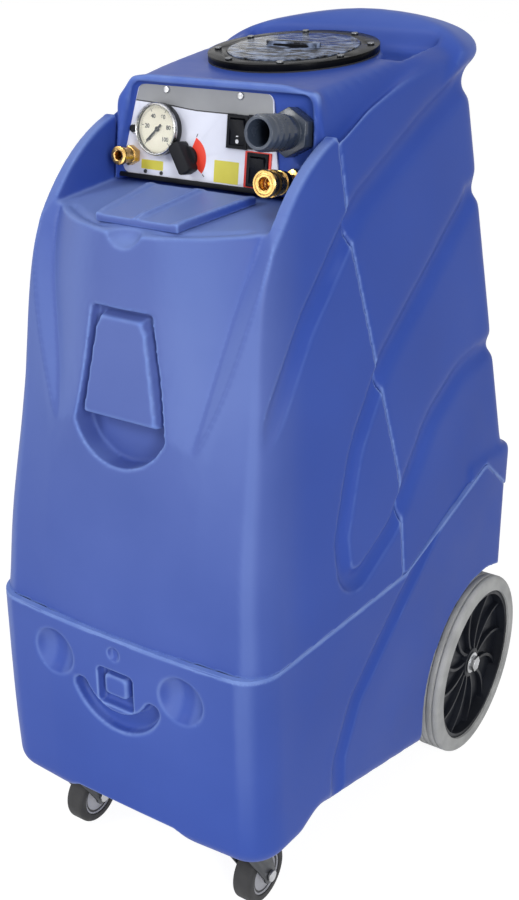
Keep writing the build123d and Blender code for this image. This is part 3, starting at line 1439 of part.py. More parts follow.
# Rear axle, brackets, wheels
BRACKET_X = 118.0
BRACKET_WIDTH = 20.0
BRACKET_LENGTH = 52.0
BRACKET_LOW_Z = 106.0
WASHER_R = 15.0
WASHER_THICK = 2.0
HUB_GAP = 0.3
HUB_BOSS_R = 21.0
HUB_R = 107.0
HUB_RIM = 6.0
HUB_RIM_WIDTH = 38.0
HUB_WEB = 7.0
HUB_WEB_X = 200.0
HUB_RIBS = 12
HUB_RIB_WIDTH = 4.0
HUB_RIB_RISE = 7.0
HUB_RIB_ROOT = 2.0
HUB_RIB_BOW = 13.0
TREAD_GROOVES = 4
TREAD_GROOVE_WIDTH = 2.6
TREAD_GROOVE_DEEP = 2.0
HUB_BORE_GAP = 0.05
NUT_FLATS = 19.0
NUT_HEIGHT = 6.0
TYRE_ROUND = 7.0
HUB_IN_X = WELL_X + WASHER_THICK + HUB_GAP
HUB_OUT_X = 208.0


def rear_axle():
    end = HUB_OUT_X + HUB_GAP + WASHER_THICK + NUT_HEIGHT
    return cyl_x(-end, end, AXLE_Y, AXLE_Z, AXLE_R)


def axle_brackets():
    out = []
    for x in (-BRACKET_X, BRACKET_X):
        half = BRACKET_WIDTH / 2
        reach = BRACKET_LENGTH / 2
        block = block_at(x - half, x + half, AXLE_Y - reach, AXLE_Y + reach, BRACKET_LOW_Z, FLOOR_Z - WALL)
        out.append(block - cyl_x(x - half, x + half, AXLE_Y, AXLE_Z, AXLE_R))
    return out


def axle_washers():
    out = []
    outer = HUB_OUT_X + HUB_GAP
    for side in (-1, 1):
        for start in (WELL_X, outer):
            ends = sorted((side * start, side * (start + WASHER_THICK)))
            ring = cyl_x(*ends, AXLE_Y, AXLE_Z, WASHER_R)
            out.append(ring - cyl_x(*ends, AXLE_Y, AXLE_Z, AXLE_R))
    return out


def axle_nuts():
    out = []
    start = HUB_OUT_X + HUB_GAP + WASHER_THICK
    outline = RegularPolygon(NUT_FLATS / 2, 6, major_radius=False) - Circle(AXLE_R)
    for side in (-1, 1):
        low = min(side * start, side * (start + NUT_HEIGHT))
        out.append(extrude(Plane.YZ.offset(low) * Pos(AXLE_Y, AXLE_Z) * outline, amount=NUT_HEIGHT))
    return out


def tyre(side):
    ring = cyl_x(WHEEL_FACE_X - WHEEL_WIDTH, WHEEL_FACE_X, AXLE_Y, AXLE_Z, WHEEL_R)
    ring = fillet(ring.edges(), TYRE_ROUND)
    ring -= cyl_x(WHEEL_FACE_X - WHEEL_WIDTH, WHEEL_FACE_X, AXLE_Y, AXLE_Z, HUB_R)
    pitch = WHEEL_WIDTH / (TREAD_GROOVES + 1)
    for k in range(TREAD_GROOVES):
        start = WHEEL_FACE_X - (k + 1) * pitch - TREAD_GROOVE_WIDTH / 2
        band = cyl_x(start, start + TREAD_GROOVE_WIDTH, AXLE_Y, AXLE_Z, WHEEL_R)
        ring -= band - cyl_x(start, start + TREAD_GROOVE_WIDTH, AXLE_Y, AXLE_Z, WHEEL_R - TREAD_GROOVE_DEEP)
    return ring if side > 0 else mirror(ring, about=Plane.YZ)


def hub_rib():
    """One bowed vane of the hub, from its boss out to its rim."""
    start, end = HUB_BOSS_R - HUB_RIB_ROOT, HUB_R - HUB_RIM + HUB_RIB_ROOT
    half, mid = HUB_RIB_WIDTH / 2, (start + end) / 2
    outline = [
        ThreePointArc((start, -half), (mid, HUB_RIB_BOW - half), (end, -half)),
        Line((end, -half), (end, half)),
        ThreePointArc((end, half), (mid, HUB_RIB_BOW + half), (start, half)),
        Line((start, half), (start, -half)),
    ]
    return extrude(Plane.YZ * Face(Wire(outline)), amount=HUB_RIB_RISE)


def hub(side):
    mid = WHEEL_FACE_X - WHEEL_WIDTH / 2
    rim = cyl_x(mid - HUB_RIM_WIDTH / 2, mid + HUB_RIM_WIDTH / 2, AXLE_Y, AXLE_Z, HUB_R)
    rim -= cyl_x(mid - HUB_RIM_WIDTH / 2, mid + HUB_RIM_WIDTH / 2, AXLE_Y, AXLE_Z, HUB_R - HUB_RIM)
    web = cyl_x(HUB_WEB_X - HUB_WEB, HUB_WEB_X, AXLE_Y, AXLE_Z, HUB_R - HUB_RIM / 2)
    wheel = rim + web + cyl_x(HUB_IN_X, HUB_OUT_X, AXLE_Y, AXLE_Z, HUB_BOSS_R)
    for k in range(HUB_RIBS):
        wheel += Pos(HUB_WEB_X, AXLE_Y, AXLE_Z) * Rot(360 * k / HUB_RIBS, 0, 0) * hub_rib()
    wheel -= cyl_x(HUB_IN_X, HUB_OUT_X, AXLE_Y, AXLE_Z, AXLE_R + HUB_BORE_GAP)
    return wheel if side > 0 else mirror(wheel, about=Plane.YZ)


# Front casters
CASTER_X = 130.0
CASTER_Y = -253.0
CASTER_TRAIL = 24.5
CASTER_R = 37.5
CASTER_WIDTH = 26.0
CASTER_HUB_R = 27.0
CASTER_HUB_INSET = 3.0
CASTER_BOSS_R = 9.0
CASTER_BORE_R = 4.0
CASTER_BORE_GAP = 0.05
CASTER_PLATE = 50.0
CASTER_PLATE_THICK = 3.0
CASTER_CUP_R = 20.0
CASTER_CUP = 7.0
CASTER_BOLT_SPOT = 18.0
CASTER_BOLT_R = 3.0
CASTER_BOLT_HEAD_R = 5.0
CASTER_BOLT_HEAD = 3.5
CASTER_BOLT_REACH = 22.0
FORK_GAP = 0.3
FORK_TOP = 5.0
FORK_TOP_R = 21.0
FORK_LEG = 3.0
FORK_SIDE_GAP = 2.0
FORK_EYE_R = 11.0
FORK_NOSE = 3.0
FORK_DROP = 8.0
KINGPIN_R = 5.0
KINGPIN_GAP = 0.05
KINGPIN_HEAD_R = 8.0
KINGPIN_HEAD = 4.0
AXLE_HEAD_R = 7.0
AXLE_HEAD = 4.0
CASTER_TYRE_ROUND = 5.0
CASTER_PLATE_Z = LOBE_Z - CASTER_PLATE_THICK
CASTER_CUP_Z = CASTER_PLATE_Z - CASTER_CUP
FORK_TOP_Z = CASTER_CUP_Z - FORK_GAP
FORK_LOW_Z = FORK_TOP_Z - FORK_TOP
CASTER_AXLE_Y = CASTER_Y + CASTER_TRAIL


def bolt_spots(x):
    spot = CASTER_BOLT_SPOT
    return [(x + dx, CASTER_Y + dy) for dx in (-spot, spot) for dy in (-spot, spot)]


def caster_plate(x):
    half = CASTER_PLATE / 2
    plate = block_at(x - half, x + half, CASTER_Y - half, CASTER_Y + half, CASTER_PLATE_Z, LOBE_Z)
    plate += cyl_z(CASTER_CUP_Z, CASTER_PLATE_Z, x, CASTER_Y, CASTER_CUP_R)
    for bx, by in bolt_spots(x):
        plate -= cyl_z(CASTER_PLATE_Z, LOBE_Z, bx, by, CASTER_BOLT_R)
        plate -= cyl_z(CASTER_CUP_Z, CASTER_PLATE_Z, bx, by, CASTER_BOLT_HEAD_R + FORK_GAP)
    return plate - cyl_z(CASTER_CUP_Z, LOBE_Z, x, CASTER_Y, KINGPIN_R)


def caster_bolts(x):
    out = []
    for bx, by in bolt_spots(x):
        head = cyl_z(CASTER_PLATE_Z - CASTER_BOLT_HEAD, CASTER_PLATE_Z, bx, by, CASTER_BOLT_HEAD_R)
        out.append(head + cyl_z(CASTER_PLATE_Z, LOBE_Z + CASTER_BOLT_REACH, bx, by, CASTER_BOLT_R))
    return out


def kingpin(x):
    head_top = FORK_LOW_Z - FORK_GAP
    pin = cyl_z(head_top, LOBE_Z, x, CASTER_Y, KINGPIN_R)
    return pin + cyl_z(head_top - KINGPIN_HEAD, head_top, x, CASTER_Y, KINGPIN_HEAD_R)


def caster_fork(x):
    inner = CASTER_WIDTH / 2 + FORK_SIDE_GAP
    eye_y = CASTER_AXLE_Y - CASTER_Y
    leg_outline = Polyline(
        (-FORK_TOP_R + FORK_NOSE, FORK_TOP_Z),
        (-FORK_TOP_R + FORK_NOSE, FORK_LOW_Z - FORK_DROP),
        (eye_y - FORK_EYE_R, CASTER_R),
        (eye_y + FORK_EYE_R, CASTER_R),
        (FORK_TOP_R, FORK_LOW_Z - FORK_DROP),
        (FORK_TOP_R, FORK_TOP_Z),
        (-FORK_TOP_R + FORK_NOSE, FORK_TOP_Z),
    )
    leg_face = Plane.YZ * Face(Wire(leg_outline.edges()))
    fork = cyl_z(FORK_LOW_Z, FORK_TOP_Z, 0, 0, FORK_TOP_R)
    for start in (-inner - FORK_LEG, inner):
        fork += extrude(Pos(start, 0, 0) * leg_face, amount=FORK_LEG, dir=(1, 0, 0))
        fork += cyl_x(start, start + FORK_LEG, eye_y, CASTER_R, FORK_EYE_R)
    fork -= cyl_z(FORK_LOW_Z, FORK_TOP_Z, 0, 0, KINGPIN_R + KINGPIN_GAP)
    fork -= cyl_x(-FAR, FAR, eye_y, CASTER_R, CASTER_BORE_R)
    return Pos(x, CASTER_Y, 0) * fork


def caster_axle(x):
    outer = CASTER_WIDTH / 2 + FORK_SIDE_GAP + FORK_LEG
    axle = cyl_x(x - outer, x + outer, CASTER_AXLE_Y, CASTER_R, CASTER_BORE_R)
    axle += cyl_x(x - outer - AXLE_HEAD, x - outer, CASTER_AXLE_Y, CASTER_R, AXLE_HEAD_R)
    return axle + cyl_x(x + outer, x + outer + AXLE_HEAD, CASTER_AXLE_Y, CASTER_R, AXLE_HEAD_R)


def caster_tyre(x):
    half = CASTER_WIDTH / 2
    ring = cyl_x(x - half, x + half, CASTER_AXLE_Y, CASTER_R, CASTER_R)
    ring = fillet(ring.edges(), CASTER_TYRE_ROUND)
    return ring - cyl_x(x - half, x + half, CASTER_AXLE_Y, CASTER_R, CASTER_HUB_R)


def caster_hub(x):
    half = CASTER_WIDTH / 2
    reach = half + FORK_SIDE_GAP - FORK_GAP
    core_half = half - CASTER_HUB_INSET
    core = cyl_x(x - core_half, x + core_half, CASTER_AXLE_Y, CASTER_R, CASTER_HUB_R)
    core += cyl_x(x - reach, x + reach, CASTER_AXLE_Y, CASTER_R, CASTER_BOSS_R)
    return core - cyl_x(x - reach, x + reach, CASTER_AXLE_Y, CASTER_R, CASTER_BORE_R + CASTER_BORE_GAP)


# Machinery inside the base
VAC_X = 82.0
VAC_Y = 10.0
VAC_FAN_R = 72.0
VAC_FAN_HEIGHT = 62.0
VAC_MOTOR_R = 50.0
VAC_TOP_Z = 320.0
VAC_CAP_R = 30.0
VAC_CAP = 14.0
PUMP_Y = -165.0
PUMP_FOOT = 6.0
PUMP_FOOT_INSET = 20.0
PUMP_FOOT_HALF = 33.6
PUMP_MOTOR_R = 42.0
PUMP_MOTOR_X0 = -110.0
PUMP_MOTOR_X1 = 30.0
PUMP_HEAD_X1 = 100.0
PUMP_HEAD_HALF = 38.0
PUMP_HEAD_HEIGHT = 96.0


def vacuum_motor(x):
    fan = cyl_z(FLOOR_Z, FLOOR_Z + VAC_FAN_HEIGHT, x, VAC_Y, VAC_FAN_R)
    motor = cyl_z(FLOOR_Z + VAC_FAN_HEIGHT, VAC_TOP_Z, x, VAC_Y, VAC_MOTOR_R)
    return fan + motor + cyl_z(VAC_TOP_Z, VAC_TOP_Z + VAC_CAP, x, VAC_Y, VAC_CAP_R)


def pump_motor():
    low = FLOOR_Z + PUMP_FOOT
    motor = cyl_x(PUMP_MOTOR_X0, PUMP_MOTOR_X1, PUMP_Y, low + PUMP_MOTOR_R, PUMP_MOTOR_R)
    start, end = PUMP_MOTOR_X0 + PUMP_FOOT_INSET, PUMP_MOTOR_X1 - PUMP_FOOT_INSET
    front, rear = PUMP_Y - PUMP_FOOT_HALF, PUMP_Y + PUMP_FOOT_HALF
    return motor + block_at(start, end, front, rear, FLOOR_Z, low + PUMP_FOOT)


def pump_head():
    front, rear = PUMP_Y - PUMP_HEAD_HALF, PUMP_Y + PUMP_HEAD_HALF
    return block_at(PUMP_MOTOR_X1, PUMP_HEAD_X1, front, rear, FLOOR_Z, FLOOR_Z + PUMP_HEAD_HEIGHT)


save("base_tub", base_tub())
save("solution_tank", solution_tank())
save("recovery_tank", recovery_tank())
save("base_seal", base_seal())
save("fill_lid", fill_lid())
save("lid_gasket", lid_gasket())
save("lid_ring", lid_ring())
save("lid_screws", *lid_screws())
save("clear_lid", clear_lid())
save("control_panel", control_panel())
save("panel_strip", panel_strip())
save("panel_screws", *panel_screws())
save("gauge_case", gauge_case())
save("gauge_dial", gauge_dial())
save("gauge_needle", gauge_needle())
save("gauge_lens", gauge_lens())
save("regulator_knob", regulator_knob())
save("regulator_valve", regulator_valve())
save("switch_housings", *[switch_housing(*spot) for spot in ROCKER_SPOTS.values()])
for name, spot in ROCKER_SPOTS.items():
    save(f"switch_{name}_rocker", rocker(*spot))
save("red_frame", red_frame())
save("breaker_body", breaker_body())
save("breaker_button", breaker_button())
save("inlet_fitting", inlet_fitting())
save("hose_barb", hose_barb())
save("coupler_nipple", coupler_nipple())
save("coupler_body", coupler_body())
save("coupler_sleeve", coupler_sleeve())
save("coupler_poppet", coupler_poppet())
save("standpipe", standpipe())
save("float_cage", float_cage())
save("float_ball", float_ball())
save("drain_valve", drain_valve())
save("drain_lever", drain_lever())
save("power_inlets", power_inlet(-POWER_X), power_inlet(POWER_X))
save("rear_axle", rear_axle())
save("axle_brackets", *axle_brackets())
save("axle_washers", *axle_washers())
save("axle_nuts", *axle_nuts())
for name, side in (("left", -1), ("right", 1)):
    save(f"rear_tyre_{name}", tyre(side))
    save(f"rear_hub_{name}", hub(side))
    x = side * CASTER_X
    save(f"caster_fork_{name}", caster_fork(x))
    save(f"caster_axle_{name}", caster_axle(x))
    save(f"caster_tyre_{name}", caster_tyre(x))
    save(f"caster_hub_{name}", caster_hub(x))
save("caster_plates", caster_plate(-CASTER_X), caster_plate(CASTER_X))
save("caster_bolts", *caster_bolts(-CASTER_X), *caster_bolts(CASTER_X))
save("caster_kingpins", kingpin(-CASTER_X), kingpin(CASTER_X))
save("vacuum_motors", vacuum_motor(-VAC_X), vacuum_motor(VAC_X))
save("pump_motor", pump_motor())
save("pump_head", pump_head())
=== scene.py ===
import json
from math import cos, pi, radians, sin, sqrt

import bmesh
import bpy
from mathutils import Matrix, Vector


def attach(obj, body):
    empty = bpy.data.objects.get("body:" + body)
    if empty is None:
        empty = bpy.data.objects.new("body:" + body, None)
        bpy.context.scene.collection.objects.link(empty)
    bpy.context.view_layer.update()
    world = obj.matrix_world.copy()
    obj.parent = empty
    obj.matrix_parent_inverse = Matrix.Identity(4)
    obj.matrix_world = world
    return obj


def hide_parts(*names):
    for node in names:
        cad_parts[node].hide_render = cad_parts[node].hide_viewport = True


# Looks of a box-type carpet extractor. Metres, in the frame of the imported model.

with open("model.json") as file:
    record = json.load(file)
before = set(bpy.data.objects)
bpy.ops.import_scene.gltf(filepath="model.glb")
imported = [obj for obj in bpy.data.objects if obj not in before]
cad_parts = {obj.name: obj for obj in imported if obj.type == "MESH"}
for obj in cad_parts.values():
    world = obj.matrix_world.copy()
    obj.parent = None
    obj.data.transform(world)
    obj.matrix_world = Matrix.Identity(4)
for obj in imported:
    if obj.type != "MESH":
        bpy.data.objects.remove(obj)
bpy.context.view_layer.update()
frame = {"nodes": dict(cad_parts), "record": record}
nodes = frame["nodes"]
BODY_OF = {n: b for b, names in frame["record"]["behaviour"]["bodies"].items() for n in names}
SLOT_OF = {s["node"]: s["material_slot"] for s in frame["record"]["subparts"]}
MM = 0.001
scene = bpy.context.scene


# Camera at the photograph's angle

CAMERA_PLACE = (0.7667, -1.1780, 1.0854)
AZIMUTH, ELEVATION, ROLL = radians(33.70), radians(23.58), radians(-0.13)
SENSOR_HEIGHT = 36.0
FOCAL_PIXELS, PICTURE_PIXELS = 1222.2, 900.0
CLIP_END = 50.0


def place_camera():
    back = Vector((sin(AZIMUTH) * cos(ELEVATION), -cos(AZIMUTH) * cos(ELEVATION), sin(ELEVATION)))
    right = Vector((cos(AZIMUTH), sin(AZIMUTH), 0.0))
    up = back.cross(right)
    turned_right = cos(ROLL) * right + sin(ROLL) * up
    turned_up = cos(ROLL) * up - sin(ROLL) * right
    data = bpy.data.cameras.new("camera")
    data.sensor_fit = "VERTICAL"
    data.sensor_height = SENSOR_HEIGHT
    data.lens = SENSOR_HEIGHT * FOCAL_PIXELS / PICTURE_PIXELS
    data.clip_end = CLIP_END
    camera = bpy.data.objects.new("camera", data)
    scene.collection.objects.link(camera)
    turn = Matrix((turned_right, turned_up, back)).transposed().to_4x4()
    camera.matrix_world = Matrix.Translation(CAMERA_PLACE) @ turn
    scene.camera = camera


place_camera()


# Materials

MATERIALS = {}
NOISE_SPAN = (0.3, 0.7)
RAMP_SPAN = (0.32, 0.68)
GRAIN_DEPTH = 0.0004

# Where painted sheen and painted highlights make the blue plastic paler than the rest of it: places in
# metres, turns as a share of the normal
FRONT_LEAN, FRONT_FACE, SHEEN_LEVEL = -0.1, (-0.25, -0.345), (0.05, 0.75)
SHELF_PLACE, SHELF_LEVEL, FACING_UP = (-0.105, -0.135), (0.74, 0.77), (0.30, 0.9)
HANDLE_PLACE, HANDLE_LEVEL, HANDLE_HIGHLIGHT = (0.13, 0.20), (0.91, 0.96), 0.5
CORNER_TURN_IN, CORNER_TURN_OUT = (0.12, 0.35), (0.80, 0.50)
CORNER_PLACE, CORNER_LEVEL, CORNER_HIGHLIGHT = (-0.20, -0.27), (0.10, 0.36), 0.4
EDGE_SPAN, EDGE_WEAR_AND_HIGHLIGHT = (0.504, 0.550), 0.90


def linear(r, g, b):
    """Linear colour from 0 to 255 screen values."""
    out = []
    for value in (r, g, b):
        c = value / 255.0
        out.append(c / 12.92 if c <= 0.04045 else ((c + 0.055) / 1.055) ** 2.4)
    return (*out, 1.0)


class Paint:
    """Small helper that wires one principled material."""

    def __init__(self, name):
        self.material = bpy.data.materials.new(name)
        self.material.use_nodes = True
        self.tree = self.material.node_tree
        self.shader = self.tree.nodes["Principled BSDF"]
        self.coord = self.add("ShaderNodeTexCoord")

    def add(self, kind, **values):
        node = self.tree.nodes.new(kind)
        for key, value in values.items():
            setattr(node, key, value)
        return node

    def link(self, a, b):
        self.tree.links.new(a, b)

    def put(self, socket, value):
        """Constant value on one of the shader's sockets."""
        self.shader.inputs[socket].default_value = value

    def noise(self, scale, detail=3.0, stretch=(1.0, 1.0, 1.0)):
        """Factor of a noise in object space, scale in features per metre."""
        mapping = self.add("ShaderNodeMapping")
        mapping.inputs["Scale"].default_value = stretch
        self.link(self.coord.outputs["Object"], mapping.inputs["Vector"])
        texture = self.add("ShaderNodeTexNoise")
        texture.inputs["Scale"].default_value = scale
        texture.inputs["Detail"].default_value = detail
        self.link(mapping.outputs["Vector"], texture.inputs["Vector"])
        return texture.outputs["Fac"]

    def ramp(self, factor, dark, light, span=RAMP_SPAN):
        """Colour between two screen colours while a factor goes through a span."""
        ramp = self.add("ShaderNodeValToRGB")
        for stop, place, colour in zip(ramp.color_ramp.elements, span, (dark, light)):
            stop.position = place
            stop.color = linear(*colour)
        self.link(factor, ramp.inputs["Fac"])
        return ramp.outputs["Color"]

    def mix(self, factor, first, second):
        node = self.add("ShaderNodeMix", data_type="RGBA")
        self.link(factor, node.inputs["Factor"])
        self.link(first, node.inputs[6])
        self.link(second, node.inputs[7])
        return node.outputs[2]

    def share(self, value, span, most=1.0):
        """Rises from nought to most while a value goes through a span."""
        node = self.add("ShaderNodeMapRange", interpolation_type="SMOOTHSTEP")
        node.inputs["From Min"].default_value = span[0]
        node.inputs["From Max"].default_value = span[1]
        node.inputs["To Max"].default_value = most
        self.link(value, node.inputs["Value"])
        return node.outputs["Result"]

    def split(self, vector):
        """The three axes of a vector."""
        axes = self.add("ShaderNodeSeparateXYZ")
        self.link(vector, axes.inputs["Vector"])
        return axes.outputs

    def place(self):
        """The three axes of a point, in metres."""
        return self.split(self.coord.outputs["Object"])

    def geometry(self, output):
        return self.add("ShaderNodeNewGeometry").outputs[output]

    def combine(self, operation, first, second):
        node = self.add("ShaderNodeMath", operation=operation)
        self.link(first, node.inputs[0])
        self.link(second, node.inputs[1])
        return node.outputs["Value"]

    def both(self, first, second):
        return self.combine("MULTIPLY", first, second)

    def either(self, first, second):
        return self.combine("MAXIMUM", first, second)

    def front_sheen_share(self):
        """How much painted sheen the front of the machine gets: more with height, so the low front keeps
        the deep colour.
        """
        place = self.place()
        leaned = self.add("ShaderNodeMath", operation="MULTIPLY_ADD")
        leaned.inputs[1].default_value = FRONT_LEAN
        self.link(place["Z"], leaned.inputs[0])
        self.link(place["Y"], leaned.inputs[2])
        front = self.share(leaned.outputs["Value"], FRONT_FACE)
        return self.both(front, self.share(place["Z"], SHEEN_LEVEL))

    def shelf_handle_highlight_share(self):
        """How much painted highlight a point gets: the filling shelf, more where its faces turn up towards
        the light, and the handle.
        """
        place = self.place()
        up = self.split(self.geometry("Normal"))["Z"]
        shelf = self.both(self.share(place["Y"], SHELF_PLACE), self.share(place["Z"], SHELF_LEVEL))
        handle = self.both(self.share(place["Y"], HANDLE_PLACE),
                           self.share(place["Z"], HANDLE_LEVEL, HANDLE_HIGHLIGHT))
        return self.either(self.both(self.share(up, FACING_UP), shelf), handle)

    def corner_highlight_share(self):
        """How much painted highlight the two upright front corners get."""
        place = self.place()
        aside = self.add("ShaderNodeMath", operation="ABSOLUTE")
        self.link(self.split(self.geometry("Normal"))["X"], aside.inputs[0])
        turn = aside.outputs["Value"]
        corner = self.both(self.share(turn, CORNER_TURN_IN), self.share(turn, CORNER_TURN_OUT))
        ahead = self.both(self.share(place["Y"], CORNER_PLACE),
                          self.share(place["Z"], CORNER_LEVEL, CORNER_HIGHLIGHT))
        return self.both(corner, ahead)

    def colour(self, colour):
        self.link(colour, self.shader.inputs["Base Color"])

    def roughness(self, factor, low, high):
        """Roughness that runs from low to high with a noise."""
        node = self.add("ShaderNodeMapRange")
        node.inputs["From Min"].default_value = NOISE_SPAN[0]
        node.inputs["From Max"].default_value = NOISE_SPAN[1]
        node.inputs["To Min"].default_value = low
        node.inputs["To Max"].default_value = high
        self.link(factor, node.inputs["Value"])
        self.link(node.outputs["Result"], self.shader.inputs["Roughness"])

    def bump(self, factor, strength, distance):
        node = self.add("ShaderNodeBump")
        node.inputs["Strength"].default_value = strength
        node.inputs["Distance"].default_value = distance
        self.link(factor, node.inputs["Height"])
        self.link(node.outputs["Normal"], self.shader.inputs["Normal"])


def finish(name, dark, light, rough, blotch=18.0, grain=900.0, bump=0.12, metallic=0.0, bend=None):
    """General finish: blotchy colour, uneven roughness and a fine grain."""
    paint = Paint(name)
    paint.colour(paint.ramp(paint.noise(blotch, 4.0), dark, light))
    paint.roughness(paint.noise(4.0 * blotch), *rough)
    paint.bump(paint.noise(grain, 2.0), bump, GRAIN_DEPTH)
    paint.put("Metallic", metallic)
    if bend:
        paint.put("IOR", bend)
    MATERIALS[name] = paint.material


def moulded_finish(name):
    """Blue polyethylene: a painted sheen on the front that grows with height, painted highlights on the
    shelf, the handle and the front corners, edges paler with wear and painted highlight, and a fine grain.
    """
    paint = Paint(name)
    blotch = paint.noise(5.0, 4.0)
    deep = paint.ramp(blotch, (53, 79, 163), (61, 87, 172))
    # painted sheen: a paler, greyer blue that stands in for the broad sheen of light on the front
    painted_sheen = paint.ramp(blotch, (82, 100, 164), (92, 109, 172))
    # painted highlight: a paler blue for the lit tops of the shelf and handle and for the front corners
    painted_highlight = paint.ramp(blotch, (104, 126, 190), (118, 139, 199))
    # edge wear and painted highlight: pale blue on convex edges, by pointiness
    worn_and_highlight = paint.ramp(paint.noise(30.0, 4.0), (106, 132, 200), (124, 149, 210))
    colour = paint.mix(paint.front_sheen_share(), deep, painted_sheen)
    # painted highlight on the shelf top, the handle and the front corners
    colour = paint.mix(paint.either(paint.shelf_handle_highlight_share(), paint.corner_highlight_share()), colour, painted_highlight)
    colour = paint.mix(paint.share(paint.geometry("Pointiness"), EDGE_SPAN, EDGE_WEAR_AND_HIGHLIGHT), colour, worn_and_highlight)
    paint.colour(colour)
    paint.roughness(paint.noise(20.0), 0.34, 0.44)
    paint.bump(paint.noise(420.0, 2.0), 0.08, 0.0005)
    paint.put("IOR", 1.17)
    MATERIALS[name] = paint.material


def crinkled_finish(name):
    """Thick clear plastic, crinkled in the mould; its colour runs from painted shade of the dark room
    behind it to painted reflections along the crinkles.
    """
    paint = Paint(name)
    crinkle = paint.noise(64.0, 5.0, (1.0, 1.9, 1.0))
    # painted shade and painted reflections: dark and pale colour follow the crinkles
    paint.colour(paint.ramp(crinkle, (6, 11, 26), (150, 166, 200), (0.42, 0.64)))
    paint.roughness(paint.noise(60.0), 0.05, 0.16)
    paint.bump(crinkle, 0.9, 0.004)
    paint.put("Transmission Weight", 0.20)
    paint.put("IOR", 1.25)
    MATERIALS[name] = paint.material


def lens_finish(name):
    """Thin clear glass, a little uneven."""
    paint = Paint(name)
    paint.put("Base Color", linear(245, 247, 247))
    paint.put("Transmission Weight", 0.95)
    paint.put("IOR", 1.06)
    paint.roughness(paint.noise(60.0), 0.01, 0.04)
    paint.bump(paint.noise(45.0), 0.25, 0.0008)
    MATERIALS[name] = paint.material


moulded_finish("blue_poly")
finish("black_rubber", (22, 22, 24), (36, 36, 38), (0.6, 0.8))
finish("ring_black", (8, 9, 12), (16, 17, 21), (0.22, 0.32), bump=0.04, bend=1.12)
finish("screw_dull", (96, 98, 102), (132, 134, 138), (0.3, 0.45), metallic=1.0)
finish("black_plastic", (20, 21, 24), (32, 33, 37), (0.36, 0.50), bend=1.2)
finish("switch_black", (16, 18, 24), (28, 30, 38), (0.22, 0.34), bump=0.05, bend=1.2)
finish("zinc_steel", (165, 166, 168), (196, 197, 200), (0.26, 0.42), blotch=60.0, metallic=1.0)
finish("panel_white", (216, 219, 234), (226, 229, 243), (0.30, 0.40), bump=0.04)
finish("gauge_steel", (150, 150, 150), (205, 205, 205), (0.18, 0.32), blotch=90.0, metallic=1.0)
finish("dial_cream", (222, 212, 190), (232, 224, 204), (0.5, 0.6), bump=0.03)
finish("needle_black", (18, 18, 20), (30, 30, 32), (0.4, 0.5), bump=0.03)
finish("red_plastic", (214, 40, 26), (234, 56, 38), (0.30, 0.42), bump=0.04)
finish("brass", (204, 162, 94), (222, 184, 116), (0.20, 0.30), blotch=120.0, bump=0.02, metallic=1.0)
finish("barb_grey", (48, 56, 70), (66, 75, 91), (0.20, 0.30), bump=0.06)
finish("pipe_white", (214, 214, 208), (228, 228, 222), (0.28, 0.4), bump=0.04)
finish("float_white", (222, 222, 216), (236, 236, 230), (0.35, 0.5), bump=0.04)
finish("tyre_grey", (158, 159, 159), (184, 185, 184), (0.62, 0.8), blotch=30.0, grain=1400.0, bump=0.2)
finish("caster_rubber", (38, 38, 40), (56, 56, 57), (0.6, 0.8))
finish("fork_steel", (58, 60, 64), (80, 82, 86), (0.34, 0.5), metallic=0.6)
finish("hub_black", (20, 22, 28), (32, 35, 43), (0.30, 0.42), bump=0.05, bend=1.2)
finish("caster_grey", (150, 151, 158), (180, 181, 188), (0.35, 0.5))
finish("motor_alloy", (150, 152, 154), (180, 182, 184), (0.4, 0.6), metallic=1.0)
finish("gauge_side", (30, 31, 34), (46, 47, 50), (0.30, 0.42), metallic=0.6)
finish("seal_red", (120, 34, 20), (158, 48, 28), (0.34, 0.46), bump=0.03)
finish("band_grey", (132, 134, 138), (146, 148, 152), (0.34, 0.46), bump=0.03)
finish("ink_black", (20, 21, 26), (32, 33, 38), (0.4, 0.5), bump=0.02)
finish("ink_white", (232, 234, 238), (242, 243, 246), (0.4, 0.5), bump=0.02)
finish("ink_red", (228, 52, 34), (240, 66, 46), (0.34, 0.44), bump=0.02)
finish("ink_yellow", (206, 196, 62), (220, 211, 80), (0.36, 0.48), bump=0.02)
crinkled_finish("clear_plastic")
lens_finish("lens_glass")


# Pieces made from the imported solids

WELD_GAP = 0.00002
FLAT_ANGLE, BEVEL_ANGLE, SMOOTH_ANGLE = radians(1.0), radians(40.0), radians(35.0)


def add_piece(name, mesh, body, slot, material, *replaced):
    piece = bpy.data.objects.new(name, mesh)
    scene.collection.objects.link(piece)
    mesh.materials.clear()
    mesh.materials.append(MATERIALS[material])
    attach(piece, body)
    if replaced:
        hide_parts(*replaced)
    return piece


def edited(mesh, edit):
    """The same mesh after an edit of all its corners and edges."""
    work = bmesh.new()
    work.from_mesh(mesh)
    edit(work)
    work.to_mesh(mesh)
    work.free()
    return mesh


def weld(work):
    bmesh.ops.remove_doubles(work, verts=work.verts, dist=WELD_GAP)


def join_flat(work):
    bmesh.ops.dissolve_limit(work, angle_limit=FLAT_ANGLE, verts=work.verts, edges=work.edges)


def solid_mesh(node):
    """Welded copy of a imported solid's mesh."""
    mesh = nodes[node].data.copy()
    mesh.transform(nodes[node].matrix_world)
    return edited(mesh, weld)


def held(data):
    """Object that holds a mesh or a curve for a short time."""
    holder = bpy.data.objects.new("holder", data)
    scene.collection.objects.link(holder)
    return holder


def taken(holder):
    """Mesh of a holder after its modifiers. The holder goes."""
    bpy.context.view_layer.update()
    view = bpy.context.evaluated_depsgraph_get()
    mesh = bpy.data.meshes.new_from_object(holder.evaluated_get(view))
    bpy.data.objects.remove(holder)
    return mesh


